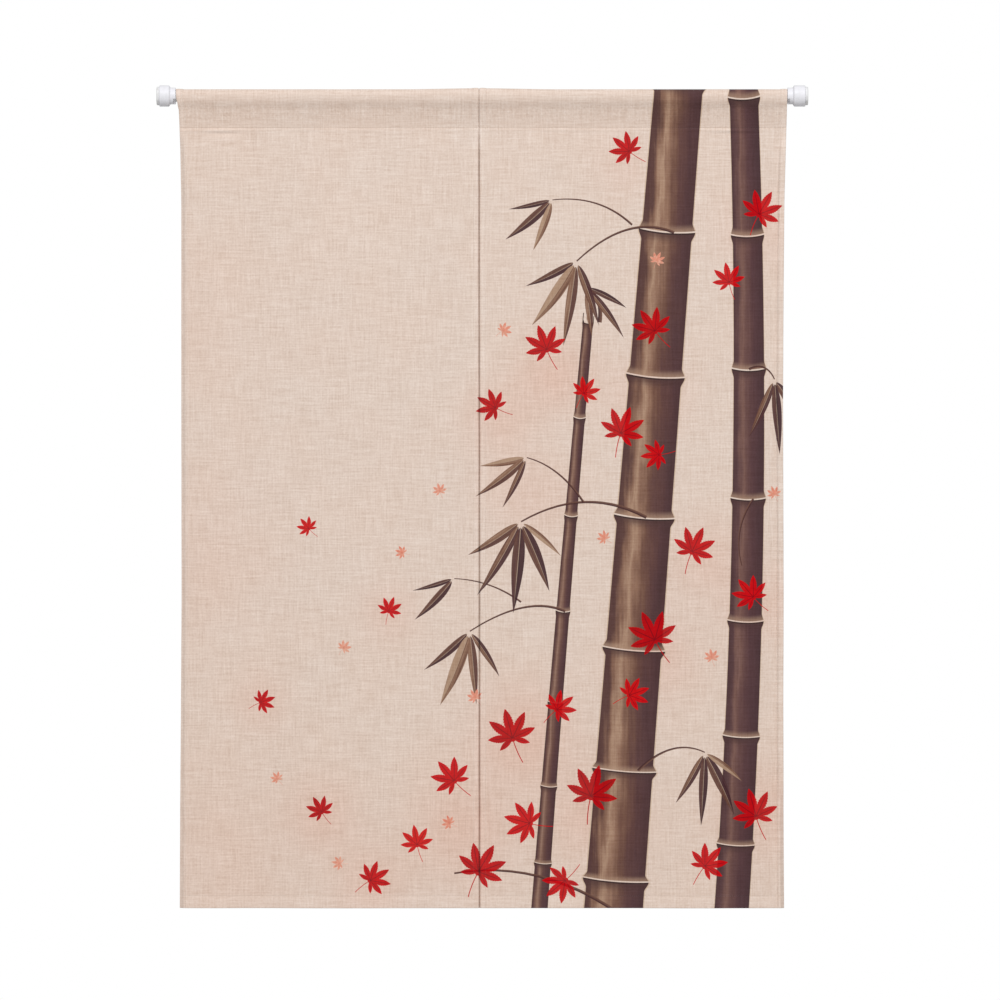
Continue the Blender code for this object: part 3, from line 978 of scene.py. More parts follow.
def curve_places(start, bend, end, steps=14):
    """A quadratic curve in metres from points in millimetres: (1 - share) squared of its start, 2 share
    (1 - share) of its bend and share squared of its end."""
    share = np.linspace(0.0, 1.0, steps + 1)[:, None]
    start, bend, end = (np.array(point, float) * MM for point in (start, bend, end))
    return (1 - share) ** 2 * start + 2 * share * (1 - share) * bend + share**2 * end


def stroke_places(places, spine):
    """Where places lie beside a stroke's spine: their share along it, and how far they are to its right."""
    steps = np.diff(spine, axis=0)
    reach = np.linalg.norm(steps, axis=1)
    apart = places[:, None] - spine[None, :-1]
    lowest = np.where(np.arange(len(steps)) == 0, -np.inf, 0.0)
    highest = np.where(np.arange(len(steps)) == len(steps) - 1, np.inf, 1.0)
    along = np.clip((apart * steps).sum(axis=2) / reach**2, lowest, highest)
    gap = np.linalg.norm(apart - along[..., None] * steps, axis=2)
    nearest = gap.argmin(axis=1)
    every = np.arange(len(places))
    offset = (apart[..., 0] * steps[:, 1] - apart[..., 1] * steps[:, 0]) / reach
    return (nearest + along[every, nearest]) / len(steps), offset[every, nearest]


def cane_motif(foot, bend, top, half_foot, half_top, tone, joints):
    """A cane: its spine, its reach, and a rule that gives the parts of its vector at places on the cloth:
    joints passed, offset in half widths and tone. The rule's last value is the share along the spine."""
    spine = curve_places(foot, bend, top, 40)

    def rule(places):
        share, offset = stroke_places(places, spine)
        half = half_foot + (half_top - half_foot) * share
        height = np.interp(share, np.linspace(0.0, 1.0, len(spine)), spine[:, 1])
        height = np.where(share > 1.0, spine[-1, 1] + (share - 1.0) * (top[1] - foot[1]) * MM, height)
        passed = np.interp(height, np.array(joints) * MM, np.arange(len(joints)))
        return passed, offset / (half * MM), tone + 0.0 * share, share

    return spine, CANE_REACH * half_foot * MM, rule


def stroke_motif(spine, half_width, tone):
    """A twig or a leaf: its spine, its reach, and a rule as for a cane, with the share along it in place of
    the joints passed."""

    def rule(places):
        share, offset = stroke_places(places, spine)
        return share, offset / half_width, tone + 0.0 * share, share

    return spine, STROKE_REACH * half_width, rule


def maple_motif(across, height, reach, turn, tone):
    """A maple leaf: its middle, its reach, and a rule that gives places from its middle, in reaches and
    turned with it, and its tone. It has no spine, so there is no share."""
    middle = np.array([(across, height)]) * MM
    turn = math.radians(turn)

    def rule(places):
        apart = (places - middle) / (reach * MM)
        sideways = apart[:, 0] * math.cos(turn) + apart[:, 1] * math.sin(turn)
        upward = apart[:, 1] * math.cos(turn) - apart[:, 0] * math.sin(turn)
        return sideways, upward, tone + 0.0 * sideways, None

    return middle, MAPLE_MARGIN * reach * MM, rule


def leaf_motifs():
    """All the bamboo leaves: each leaves its spray's point on a short stalk, and droops a little."""
    motifs = []
    for number, (across, height, leaves) in enumerate(SPRAYS):
        for place, (swing, length) in enumerate(leaves):
            turn = math.radians(swing)
            way = np.array([math.sin(turn), -math.cos(turn)])
            root = np.array([across, height]) + LEAF_STALK * length * way
            tip = root + length * way
            droop = math.copysign(1.0, swing) * np.array([math.sin(turn), 0.4])
            bend = (root + tip) / 2 + LEAF_BEND * length * droop
            tone = LEAF_TONES[(2 * number + 3 * place) % 5]
            uneven = LEAF_UNEVENNESS * math.sin(5.0 * number + 2.0 * place)
            half_width = LEAF_SLIMNESS * length * (1.0 + uneven)
            motifs.append(stroke_motif(curve_places(root, bend, tip), half_width * MM, tone))
    return motifs


def print_layers(corners, motifs, count):
    """Shares motifs out over layers, and gives each layer's vector at every face corner.

    A face takes the motif that is printed on it, and one layer holds only motifs whose faces are apart. A
    motif's vector is exact at the corners and nearly straight between them, so the outline drawn from it
    stays crisp.
    """
    sides = corners.shape[1]
    layers = np.full((count, len(corners), sides, 3), NOWHERE)
    layers[..., 2] = 0.0
    taken = np.zeros((count, len(corners)), bool)
    low, high = corners.min(axis=1), corners.max(axis=1)
    small = (high - low).max(axis=1) < LARGEST_FACE
    for spine, reach, rule in motifs:
        before_end = (low < spine.max(axis=0) + reach).all(axis=1)
        after_start = (high > spine.min(axis=0) - reach).all(axis=1)
        near = np.flatnonzero(before_end & after_start & small)
        if len(near) == 0:
            continue
        values = rule(corners[near].reshape(-1, 2))
        first, second, tone, share = (part if part is None else part.reshape(-1, sides) for part in values)
        if share is None:
            held = np.hypot(first, second).min(axis=1) < MAPLE_MARGIN
        else:
            held = (second.min(axis=1) < STROKE_MARGIN) & (second.max(axis=1) > -STROKE_MARGIN)
            held &= (share.min(axis=1) < 1.0 + END_MARGIN) & (share.max(axis=1) > -END_MARGIN)
        near, first, second, tone = near[held], first[held], second[held], tone[held]
        layer = int(taken[:, near].sum(axis=1).argmin())
        free = ~taken[layer, near]
        taken[layer, near] = True
        layers[layer, near[free]] = np.stack([first, second, tone], axis=2)[free]
    return layers


def store(mesh, name, values, domain="POINT"):
    """Stores a number or a vector for each point, or for each face corner, of a mesh."""
    kind, key = ("FLOAT", "value") if values.ndim == 1 else ("FLOAT_VECTOR", "vector")
    mesh.attributes.new(name, kind, domain).data.foreach_set(key, values.astype(np.float32).ravel())


def blush_strength(places):
    """How strong the blush is at places on the cloth: the spots' bell curves, laid over one another."""
    middle, reach, strength = BLUSHES[:, :2] * MM, BLUSHES[:, 2] * MM, BLUSHES[:, 3]
    apart = np.linalg.norm(places[..., None, :] - middle, axis=-1) / reach
    return 1.0 - np.prod(1.0 - strength * np.exp(-BLUSH_FALL * apart**2), axis=-1)


def split(tree, vector):
    """The three parts of a vector."""
    return add_node(tree, "SeparateXYZ", {0: vector}).outputs


def combine(tree, *parts):
    """A vector from its parts."""
    return add_node(tree, "CombineXYZ", dict(enumerate(parts))).outputs[0]


def product(tree, value, *others):
    """Several values multiplied together."""
    for other in others:
        value = calc(tree, "MULTIPLY", value, other)
    return value


def weighed_sum(tree, first, first_share, second, second_share):
    """Two values added up, each times its share."""
    return calc(tree, "ADD", product(tree, first, first_share), product(tree, second, second_share))


def vary(tree, value, noisy, strength):
    """Varies a value by noise: adds what the noise is above or below 0.5, times the strength."""
    return calc(tree, "MULTIPLY_ADD", calc(tree, "SUBTRACT", noisy, 0.5), strength, value)


def clamp(tree, value, low, high):
    """A value held between two others."""
    return calc(tree, "MAXIMUM", calc(tree, "MINIMUM", value, high), low)


def between(tree, value, low, high):
    """1 where a value lies between two others, and 0 elsewhere."""
    return product(tree, calc(tree, "LESS_THAN", value, high), calc(tree, "GREATER_THAN", value, low))


def outline(tree, inside, softness):
    """1 where a signed distance inside an outline is past its softness, and 0 outside."""
    return remap(tree, inside, 0.0, softness, kind="SMOOTHSTEP")


def start_ink(name, given=("Place",)):
    """A new shader group for an ink: it takes vectors, and puts out a mask and a colour."""
    return start_group(name, [(key, "Vector") for key in given], [("Mask", "Float"), ("Colour", "Color")])


def finish_ink(group, result, mask, colour):
    """Links an ink's mask and colour to the end of its group, and gives the group."""
    group.links.new(mask, result["Mask"])
    group.links.new(colour, result["Colour"])
    return group


def cane_streaks(group, cloth, offset, tone):
    """The body of a cane: drawn-out noise shifts the offset before the ramps, which leaves brush streaks."""
    streaks = drawn_noise(group, cloth, CANE_STREAKS, 4.0)
    lumps = drawn_noise(group, cloth, CANE_LUMPS, 3.0)
    shifted = vary(group, vary(group, offset, streaks, STREAK_SHIFT), lumps, LUMP_SHIFT)
    place = calc(group, "MULTIPLY_ADD", shifted, 0.5, 0.5)
    return mix(group, tone, ramp(group, place, TAN_CANE), ramp(group, place, PURPLE_CANE))


def cane_joints(group, colour, past):
    """Shades a cane by how far past a joint it is: a pale bloom above, a shade below, a ring between."""
    bloom = remap(group, past, *BLOOM_FADE, 0.0, kind="SMOOTHSTEP")
    bloom = product(group, bloom, calc(group, "GREATER_THAN", past, 0.0))
    under = remap(group, past, *UNDER_FADE, kind="SMOOTHSTEP")
    under = product(group, under, calc(group, "LESS_THAN", past, 0.0))
    from_ring = calc(group, "ABSOLUTE", calc(group, "ADD", past, RING_BELOW))
    ring = remap(group, from_ring, *RING_EDGE, 1.0, 0.0)
    for share, ink in ((bloom, CANE_BLOOM), (under, CANE_UNDER), (ring, CANE_RING)):
        colour = mix(group, share, colour, ink)
    return colour


def cane_group():
    """Ink of a bamboo cane, from joints passed and offset in half widths.

    The offset is squeezed at the joints, so the cane swells there. Each joint is a bowed gap, lower by
    0.016 offset squared, that shows the cloth.
    """
    group, given, result = start_ink("bamboo cane", ("Place", "Cloth"))
    passed, offset, tone = split(group, given["Place"])
    passed = calc(group, "SUBTRACT", passed, calc(group, "ROUND", passed))
    apart = calc(group, "ABSOLUTE", passed)
    nearness = remap(group, apart, 0.0, SWELL_REACH, 1.0, 0.0, kind="SMOOTHSTEP")
    offset = calc(group, "DIVIDE", offset, calc(group, "MULTIPLY_ADD", nearness, SWELL, 1.0))
    aside = calc(group, "ABSOLUTE", offset)
    bow = product(group, offset, offset)
    past = calc(group, "MULTIPLY_ADD", bow, -JOINT_BOW, calc(group, "ADD", passed, JOINT_RAISED))

    colour = cane_joints(group, cane_streaks(group, given["Cloth"], offset, tone), past)
    rim = outline(group, calc(group, "SUBTRACT", aside, RIM_FROM), CANE_SOFTNESS)
    colour = mix(group, rim, colour, CANE_RIM)
    inside = outline(group, calc(group, "SUBTRACT", CANE_EDGE, aside), CANE_SOFTNESS)
    gap = remap(group, calc(group, "ABSOLUTE", calc(group, "SUBTRACT", past, GAP_ABOVE)), *GAP_EDGE)
    return finish_ink(group, result, product(group, inside, gap), colour)


def leaf_group():
    """Ink of a bamboo leaf: inside where the offset is under 3.02 share^0.6 (1 - share)^1.1. One half is
    lighter, a pale midrib runs between them, and the brush leaves streaks towards the tip."""
    group, given, result = start_ink("bamboo leaf")
    share, offset, tone = split(group, given["Place"])
    share = clamp(group, share, 0.0, 1.0)
    rise = calc(group, "POWER", share, ROOT_POWER)
    fall = calc(group, "POWER", calc(group, "SUBTRACT", 1.0, share), TIP_POWER)
    half = product(group, rise, LEAF_BREADTH, fall)
    aside = calc(group, "ABSOLUTE", offset)

    streaks = drawn_noise(group, given["Place"], LEAF_STREAKS, 3.0)
    lighter = remap(group, offset, -0.10, 0.10, 0.0, LIGHT_HALF)
    streaked = vary(group, calc(group, "ADD", tone, lighter), streaks, LEAF_STREAKINESS)
    colour = ramp(group, streaked, LEAF_INK)
    rib = remap(group, aside, *MIDRIB_EDGE, MIDRIB_STRENGTH, 0.0)
    rib = product(group, rib, remap(group, share, *MIDRIB_FADE, 1.0, 0.0))
    colour = mix(group, rib, colour, LEAF_RIB)
    inside = outline(group, calc(group, "SUBTRACT", half, aside), LEAF_SOFTNESS)
    return finish_ink(group, result, inside, colour)


def twig_group():
    """Ink of a twig: inside where the offset is under 1 - half the share, dark with a lighter side."""
    group, given, result = start_ink("twig")
    share, offset, tone = split(group, given["Place"])
    half = calc(group, "MULTIPLY_ADD", share, -0.5, 1.0)
    inside = calc(group, "SUBTRACT", half, calc(group, "ABSOLUTE", offset))
    inside = outline(group, inside, TWIG_SOFTNESS)
    colour = mix(group, remap(group, offset, -0.5, 0.6), TWIG_DARK, TWIG_LIGHT)
    return finish_ink(group, result, product(group, inside, between(group, share, 0.0, 1.0)), colour)


def maple_shape(group, across, up):
    """How far a place lies inside a maple leaf's outline, how far from the nearest vein, and its share
    along it.

    The turn is folded to the nearest of seven lobes. Along its lobe, which is 1 - 0.045 lobe squared long,
    the leaf reaches 0.66 share (1 - share) to each side, with fine teeth. A bowed stalk hangs below.
    """
    reach = calc(group, "POWER", calc(group, "MULTIPLY_ADD", across, across, product(group, up, up)), 0.5)
    turn = calc(group, "ARCTAN2", across, up)
    lobe = clamp(group, calc(group, "ROUND", calc(group, "DIVIDE", turn, LOBE_TURN)), -3.0, 3.0)
    folded = calc(group, "MULTIPLY_ADD", lobe, -LOBE_TURN, turn)
    size = calc(group, "MULTIPLY_ADD", product(group, lobe, lobe), -LOBE_SHRINK, 1.0)
    scaled = calc(group, "DIVIDE", reach, size)
    share = product(group, calc(group, "COSINE", folded), scaled)
    side = calc(group, "ABSOLUTE", product(group, calc(group, "SINE", folded), scaled))

    held = clamp(group, share, 0.0, 1.0)
    half = product(group, held, LOBE_BREADTH, calc(group, "SUBTRACT", 1.0, held))
    teeth = calc(group, "FRACT", product(group, held, TEETH))
    half = product(group, half, calc(group, "MULTIPLY_ADD", teeth, -TOOTH_DEPTH, 1.06))
    blade = calc(group, "SUBTRACT", half, side)
    heart = calc(group, "SUBTRACT", MAPLE_HEART, reach)
    bowed = calc(group, "MULTIPLY_ADD", product(group, up, up), -STALK_BOW, across)
    stalk = calc(group, "SUBTRACT", STALK_HALF, calc(group, "ABSOLUTE", bowed))
    beyond = calc(group, "SUBTRACT", 1.0, between(group, up, -STALK_LENGTH, 0.0))
    stalk = calc(group, "SUBTRACT", stalk, product(group, beyond, 5.0))
    return calc(group, "MAXIMUM", calc(group, "MAXIMUM", blade, heart), stalk), side, share


def maple_group():
    """Ink of a maple leaf: a red wash, mottled a little, with a darker vein down each lobe."""
    group, given, result = start_ink("maple leaf")
    across, up, tone = split(group, given["Place"])
    inside, side, share = maple_shape(group, across, up)
    wash = noise(group, given["Place"], WASH_SCALE, 3.0)
    colour = ramp(group, vary(group, tone, wash, WASH_STRENGTH), MAPLE_INK)
    vein = product(
        group,
        remap(group, side, *VEIN_EDGE, VEIN_STRENGTH, 0.0),
        remap(group, share, *VEIN_FADE, 1.0, 0.0),
        remap(group, tone, *VEIN_TONES),
    )
    colour = mix(group, vein, colour, MAPLE_VEIN)
    return finish_ink(group, result, outline(group, inside, MAPLE_SOFTNESS), colour)


# The cloth itself: linen-look yarns in a plain weave, thick and thin by turns, so that pale and dark slubs
# run both ways. It is printed after weaving, and its plain side is paler.
THREAD_PITCH = 0.74 * MM
CLOTH_PALE = (0.765, 0.634, 0.552)
CLOTH_PINK = (0.765, 0.592, 0.492)
CLOTH_BACK = (0.800, 0.685, 0.600)
SALMON = (0.740, 0.380, 0.275)
SHOWN_THROUGH = 0.30
INK_COVER = 0.97
# Red, green and blue deepen by their own powers of the weave's tone
SHADE_POWERS = (0.74, 1.0, 1.2)
DOUBLED_TONE = 1.045
# How much deeper the painted shade makes the pocket's cloth below the rod
POCKET_SHADE_TONE = 0.96

# The threads wander sideways: scale, distance
WANDER = (45.0, 1.6 * MM)
# Slubs and bundles of threads in noise: step across for a thread, step along for a pitch, strength in the
# tone. The bundles that run up are fainter than those that run across.
SLUB_STEPS, SLUB_TONE = (3.37, 0.030), 0.12
BUNDLE_STEPS, BUNDLE_TONES = (0.34, 0.019), (0.17, 0.22)
SLUB_START, BUNDLE_START = 7.3, 1.9
FLECK_SCALE, FLECK_TONE = 340.0, 0.17
# Height of a thread's round top, of its way over and under, and of its thick places
ROUND_TOP, OVER_AND_UNDER, THICKENING = 0.55, 0.30, 1.3
WEAVE_DEPTH = 0.10 * MM
# The weave's painted shade and light: its tone from the threads' low places, in painted shade, to their
# tops, a little painted light, and the cloth's own soft roughness
WEAVE_SHADING_TONES = (0.0, 0.75, 0.79, 1.03)
ROUGH_SCALE, ROUGH_HEIGHT = 70.0, 0.5
# How pink the cloth is: at least, more from a height down and over a drop, in a band near its left edge, and
# in soft drifts
PINK_LEAST = 0.14
PINK_LOWER, LOWER_FROM, LOWER_OVER = 0.30, -0.55, 0.6
PINK_BAND, BAND_MIDDLE, BAND_REACH = 0.14, 0.03, 0.16
DRIFT_SCALE, DRIFT_RANGE, DRIFT = 11.0, (0.35, 0.65), 0.12
# Gathered cloth: scales of its long puckers and its small crumples, strength in the tone, as painted shade
# in their hollows and painted light on their crests, and in the height
PUCKERS, CRUMPLES = (150.0, 26.0, 0.0), (330.0, 210.0, 0.0)
GATHER_SHADE_TONE, GATHER_HEIGHT = 0.4, 16.0


def thread_set(group, place, along, across, start):
    """The threads that run one way: their height, their slubs and their bundles.

    A thread is a cosine across its own pitch, lifted and lowered by a sine along it that passes over every
    other thread of the other set. Each is thick or thin by turns, from noise drawn out along it, and so are
    bundles of about three threads.
    """
    thread = calc(group, "DIVIDE", place[across], THREAD_PITCH)
    length = calc(group, "DIVIDE", place[along], THREAD_PITCH)
    number = calc(group, "FLOOR", thread)
    inside = calc(group, "SUBTRACT", calc(group, "SUBTRACT", thread, number), 0.5)
    slub_across, slub_along = (product(group, *pair) for pair in zip((number, length), SLUB_STEPS))
    slub = noise(group, combine(group, slub_across, slub_along, SLUB_START + start), 1.0, 2.0)
    bundle_across, bundle_along = (product(group, *pair) for pair in zip((thread, length), BUNDLE_STEPS))
    bundle = noise(group, combine(group, bundle_across, bundle_along, BUNDLE_START + start), 1.0, 1.0)

    round_top = calc(group, "COSINE", product(group, inside, math.pi))
    turns = calc(group, "MULTIPLY_ADD", calc(group, "ADD", length, number), math.pi, start)
    over = calc(group, "SINE", turns)
    height = weighed_sum(group, round_top, ROUND_TOP, over, OVER_AND_UNDER)
    return vary(group, height, weighed_sum(group, slub, 0.5, bundle, 0.5), THICKENING), slub, bundle


def weave_group():
    """Plain weave with slubs, from a place on the flat cloth in metres: its height, and a tone to multiply
    colours by: the slubs' own tone, with painted shade in the threads' low places and a little painted light
    on their tops.

    The weft is the warp turned by a quarter and half a wave out, and the higher of the two shows.
    """
    sockets = [("Height", "Float"), ("Tone", "Float")]
    group, given, result = start_group("slubbed plain weave", [("Cloth", "Vector")], sockets)
    scale, distance = WANDER
    wander = add_node(group, "TexNoise", {"Vector": given["Cloth"], "Scale": scale, "Detail": 1.0})
    wander = vector_calc(group, "SUBTRACT", wander.outputs["Color"], (0.5, 0.5, 0.5))
    wander = vector_calc(group, "MULTIPLY", wander, (distance, distance, 0.0))
    place = split(group, vector_calc(group, "ADD", given["Cloth"], wander))

    warp = thread_set(group, place, 1, 0, 0.0)
    weft = thread_set(group, place, 0, 1, math.pi)
    top = calc(group, "MAXIMUM", warp[0], weft[0])
    tone = 1.0
    for (height, slub, bundle), strength in zip((warp, weft), BUNDLE_TONES):
        tone = vary(group, vary(group, tone, slub, SLUB_TONE), bundle, strength)
    tone = vary(group, tone, noise(group, given["Cloth"], FLECK_SCALE, 0.0), FLECK_TONE)
    group.links.new(top, result["Height"])
    # painted shade in the threads' low places, a little painted light on their tops
    group.links.new(product(group, tone, remap(group, top, *WEAVE_SHADING_TONES)), result["Tone"])
    return group


def attribute(tree, name, output="Fac"):
    """A value stored on the mesh."""
    return add_node(tree, "Attribute", attribute_name=name).outputs[output]


def dyed(tree, cloth, colour):
    """Dyes a colour with every layer of the print, in the order in which they were printed."""
    for kind, name in layer_names:
        inputs = {"Place": attribute(tree, name, "Vector")}
        if kind == "cane":
            inputs["Cloth"] = cloth
        ink = use_group(tree, ink_groups[kind], inputs)
        colour = mix(tree, product(tree, ink["Mask"], INK_COVER), colour, ink["Colour"])
    return colour


def cloth_colour(tree, cloth):
    """The dyed cloth before the weave shades it: pink drifts, blushes, then the inks, and a paler back."""
    drift = remap(tree, noise(tree, cloth, DRIFT_SCALE, 2.0), *DRIFT_RANGE, -DRIFT, DRIFT)
    pinkness = calc(tree, "ADD", attribute(tree, "pinkness"), drift)
    colour = mix(tree, pinkness, CLOTH_PALE, CLOTH_PINK)
    colour = mix(tree, attribute(tree, "blush"), colour, SALMON)
    return mix(tree, attribute(tree, "ink"), CLOTH_BACK, dyed(tree, cloth, colour))


def gathered_height(tree, cloth):
    """Fine puckers and crumples around 0, where the pocket's front is gathered: a height for the bump, and
    for painted shade in their hollows and painted light on their crests.
    """
    puckers = drawn_noise(tree, cloth, PUCKERS, 3.0)
    crumples = drawn_noise(tree, cloth, CRUMPLES, 2.0)
    height = calc(tree, "SUBTRACT", weighed_sum(tree, puckers, 0.5, crumples, 0.5), 0.5)
    return product(tree, height, attribute(tree, "gather"))


def cloth_material():
    """Printed slubbed cloth. The weave shades every dye, with painted shade in its low places. Doubled cloth
    is a little paler.
    The cloth below the rod, from the pocket's seam up, gets a painted shade where the back layer and the rod
    keep light from coming through, and the gathered puckers get painted shade in their hollows and painted
    light on their crests."""
    material, tree, shader = start_material("printed cloth")
    cloth = add_node(tree, "UVMap", uv_map="cloth").outputs[0]
    weave = use_group(tree, weave_group(), {"Cloth": cloth})
    gathered = gathered_height(tree, cloth)
    tone = product(
        tree,
        # the weave's tone, with its painted shade in the threads' low places
        weave["Tone"],
        remap(tree, attribute(tree, "doubled"), 0.0, 1.0, 1.0, DOUBLED_TONE),
        # painted shade on the pocket's cloth below the rod
        remap(tree, attribute(tree, "pocket_shade"), 0.0, 1.0, 1.0, POCKET_SHADE_TONE),
        # painted shade in the puckers' hollows, painted light on their crests
        calc(tree, "MULTIPLY_ADD", gathered, GATHER_SHADE_TONE, 1.0),
    )
    shade = combine(tree, *(calc(tree, "POWER", tone, power) for power in SHADE_POWERS))
    rough = noise(tree, cloth, ROUGH_SCALE, 3.0)
    height = calc(tree, "MULTIPLY_ADD", gathered, GATHER_HEIGHT, weave["Height"])
    height = calc(tree, "MULTIPLY_ADD", rough, ROUGH_HEIGHT, height)
    fill_inputs(tree, shader, {
        "Base Color": mix(tree, 1.0, cloth_colour(tree, cloth), shade, blend="MULTIPLY"),
        "Roughness": remap(tree, weave["Height"], 0.0, 1.0, 0.96, 0.84),
        "Normal": bump(tree, height, WEAVE_DEPTH),
        "Specular IOR Level": 0.06,
        "Sheen Weight": 0.04,
        "Sheen Roughness": 0.6,
    })
    return material


def store_print(mesh, corners, domain, repeat=1):
    """Stores the print's layers on a mesh, each vector as many times over as it is repeated."""
    layers = np.concatenate([print_layers(corners, motifs, count) for kind, motifs, count in PRINT_PARTS])
    for (kind, name), layer in zip(layer_names, layers):
        store(mesh, name, np.repeat(layer.reshape(-1, 3), repeat, axis=0), domain)


def pink_drift(flat):
    """How pink the cloth is: more from its middle down, and in a band near its left edge."""
    across, height = flat[..., 0], flat[..., 1]
    lower = PINK_LOWER * ease((LOWER_FROM - height) / LOWER_OVER)
    return PINK_LEAST + lower + PINK_BAND * bell((across - BAND_MIDDLE) / BAND_REACH)


def store_finish(mesh, surfaces, inner):
    """Stores what the finish reads at each point: first those of the printed side, then those behind."""
    blush = blush_strength(surfaces.flat)
    pinkness = pink_drift(surfaces.flat)
    for name, printed, plain in (
        ("ink", np.ones(inner.shape), np.where(surfaces.hem, 1.0, SHOWN_THROUGH)),
        ("blush", blush, blush),
        ("pinkness", pinkness, pinkness),
        ("doubled", surfaces.doubled, surfaces.doubled),
        ("gather", surfaces.gather, surfaces.gather),
        # painted shade on the pocket's cloth below the rod
        ("pocket_shade", surfaces.pocket_shade, surfaces.pocket_shade),
    ):
        store(mesh, name, np.concatenate([printed.ravel(), plain[inner]]))


# What is printed, in order: kind, motifs, and how many layers they need so as not to share a face
PRINT_PARTS = (
    ("cane", [cane_motif(*cane) for cane in CANES_BEHIND], 1),
    ("cane", [cane_motif(*cane) for cane in CANES_IN_FRONT], 1),
    ("twig", [stroke_motif(curve_places(*twig[:3]), twig[3] * MM, 0.0) for twig in TWIGS], 2),
    ("leaf", leaf_motifs(), 4),
    ("maple", [maple_motif(*maple) for maple in MAPLES], 2),
)
# The panels: side, columns of their two edges in the table, size laid flat in metres
PANELS = (
    ("left", LEFT_OUTER, LEFT_SLIT, (0.448, 1.243)),
    ("right", RIGHT_SLIT, RIGHT_OUTER, (0.456, 1.243)),
)
layer_names = [
    (kind, f"{kind} {part}.{number}")
    for part, (kind, motifs, count) in enumerate(PRINT_PARTS)
    for number in range(count)
]
ink_groups = {"cane": cane_group(), "twig": twig_group(), "leaf": leaf_group(), "maple": maple_group()}
printed_cloth = cloth_material()
panels = {}
for side, left_column, right_column, flat_size in PANELS:
    surfaces = panel_surfaces(left_column, right_column)
    points, faces, corners, inner = close_panel(surfaces)
    panel = add_piece("cloth_panel_" + side, points, faces.tolist())
    panel.data.uv_layers.new(name="cloth").data.foreach_set("uv", corners.astype(np.float32).ravel())
    store_print(panel.data, corners, "CORNER")
    store_finish(panel.data, surfaces, inner)
    panel.data.materials.append(printed_cloth)
    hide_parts("panel_" + side)
    panels[side] = (panel, surfaces, flat_size)


# The sewing: fine cotton thread in the cloth's own tone, in short stitches down every side hem, along the
# bottom hem and the pocket's seam. A few slanted stitches behind join the two panels below the rod.
STITCH_PITCH = 3.0 * MM
STITCH_LENGTH = 2.3 * MM
THREAD_RADIUS = 0.24 * MM
STITCH_RISE = 0.13 * MM
STITCH_STATIONS = 5
STITCH_SIDES = 6
JOIN_RANGE = (-73.0 * MM, -53.0 * MM)
JOIN_PITCH = 2.6 * MM
JOIN_LENGTH = 4.4 * MM
# How steep the joining stitches slant, and the column of the left panel whose depth they follow
JOIN_SLANT, JOIN_COLUMN = 0.35, -5
THREAD_COLOUR = (0.740, 0.620, 0.530)
THREAD_SHADE = (0.540, 0.430, 0.350)
TWIST_PITCH, TWIST_DEPTH = 0.34 * MM, 0.02 * MM
LINT_SCALE, LINT = 900.0, 0.8


def along_line(points, normals, flat, pitch):
    """Even places down a line on the cloth: each place, the way along, the way off and the flat place."""
    length = np.concatenate([[0.0], np.cumsum(np.linalg.norm(np.diff(points, axis=0), axis=1))])
    middles = np.arange(pitch, length[-1] - pitch, pitch)
    place, way, flat = (
        np.stack([np.interp(middles, length, column) for column in values.T], axis=1)
        for values in (points, normals, flat)
    )
    return place, np.gradient(place, axis=0), way, flat


def stitch_points(place, ahead, off, length):
    """Stitches as short threads: along the way, minus the cosine of a half turn, up a little by its sine,
    and round it a circle that thins to a point at each end by the sine's root."""
    ahead, off = (ways / np.linalg.norm(ways, axis=1, keepdims=True) for ways in (ahead, off))
    beside = np.cross(ahead, off)
    turn = np.linspace(0.0, math.pi, STITCH_STATIONS + 2)
    rim = np.linspace(0.0, 2.0 * math.pi, STITCH_SIDES, endpoint=False)
    forward = (-np.cos(turn) * length / 2)[:, None] + 0.0 * rim
    thin = np.sin(turn)[:, None] ** 0.5 * THREAD_RADIUS
    upward = STITCH_RISE * np.sin(turn)[:, None] + thin * np.sin(rim)
    sideways = thin * np.cos(rim)
    parts = ((ahead, forward), (off, upward), (beside, sideways))
    whole = sum(axis[:, None, None] * amount[None, ..., None] for axis, amount in parts)
    whole = whole + place[:, None, None]
    ends = whole[:, [0, -1], 0]
    return np.concatenate([ends[:, :1], whole[:, 1:-1].reshape(len(place), -1, 3), ends[:, 1:]], axis=1)


def stitch_faces(count):
    """Faces of many stitches: two fans at each stitch's ends and rings of quads between."""
    first = np.arange(1, STITCH_SIDES + 1)
    last = first + (STITCH_STATIONS - 1) * STITCH_SIDES
    middle = grid_faces(STITCH_STATIONS, STITCH_SIDES, wrapped=True) + 1
    start_fan = np.stack([0 * first, np.roll(first, -1), first], axis=1)
    end_point = STITCH_STATIONS * STITCH_SIDES + 1
    end_fan = np.stack([last, np.roll(last, -1), 0 * last + end_point], axis=1)
    step = (end_point + 1) * np.arange(count)[:, None, None]
    faces = []
    for group in (middle, start_fan, end_fan):
        faces += (group + step).reshape(-1, group.shape[1]).tolist()
    return faces


def thread_material():
    """Fine cotton thread: a slanting twist, darker between its strands, dyed as the cloth beside it is."""
    material, tree, shader = start_material("sewing thread")
    place = add_node(tree, "TexCoord").outputs["Object"]
    across, back, up = split(tree, place)
    slant = calc(tree, "ADD", calc(tree, "ADD", across, back), up)
    twist = calc(tree, "SINE", product(tree, slant, 2.0 * math.pi / TWIST_PITCH))
    lint = noise(tree, place, LINT_SCALE)
    strand = remap(tree, calc(tree, "MULTIPLY_ADD", lint, LINT, twist), -0.8, 0.8)
    cloth = combine(tree, across, up)
    fill_inputs(tree, shader, {
        "Base Color": dyed(tree, cloth, mix(tree, strand, THREAD_SHADE, THREAD_COLOUR)),
        "Roughness": remap(tree, strand, 0.0, 1.0, 0.80, 0.62),
        "Normal": bump(tree, twist, TWIST_DEPTH),
        "Sheen Weight": 0.2,
    })
    return material


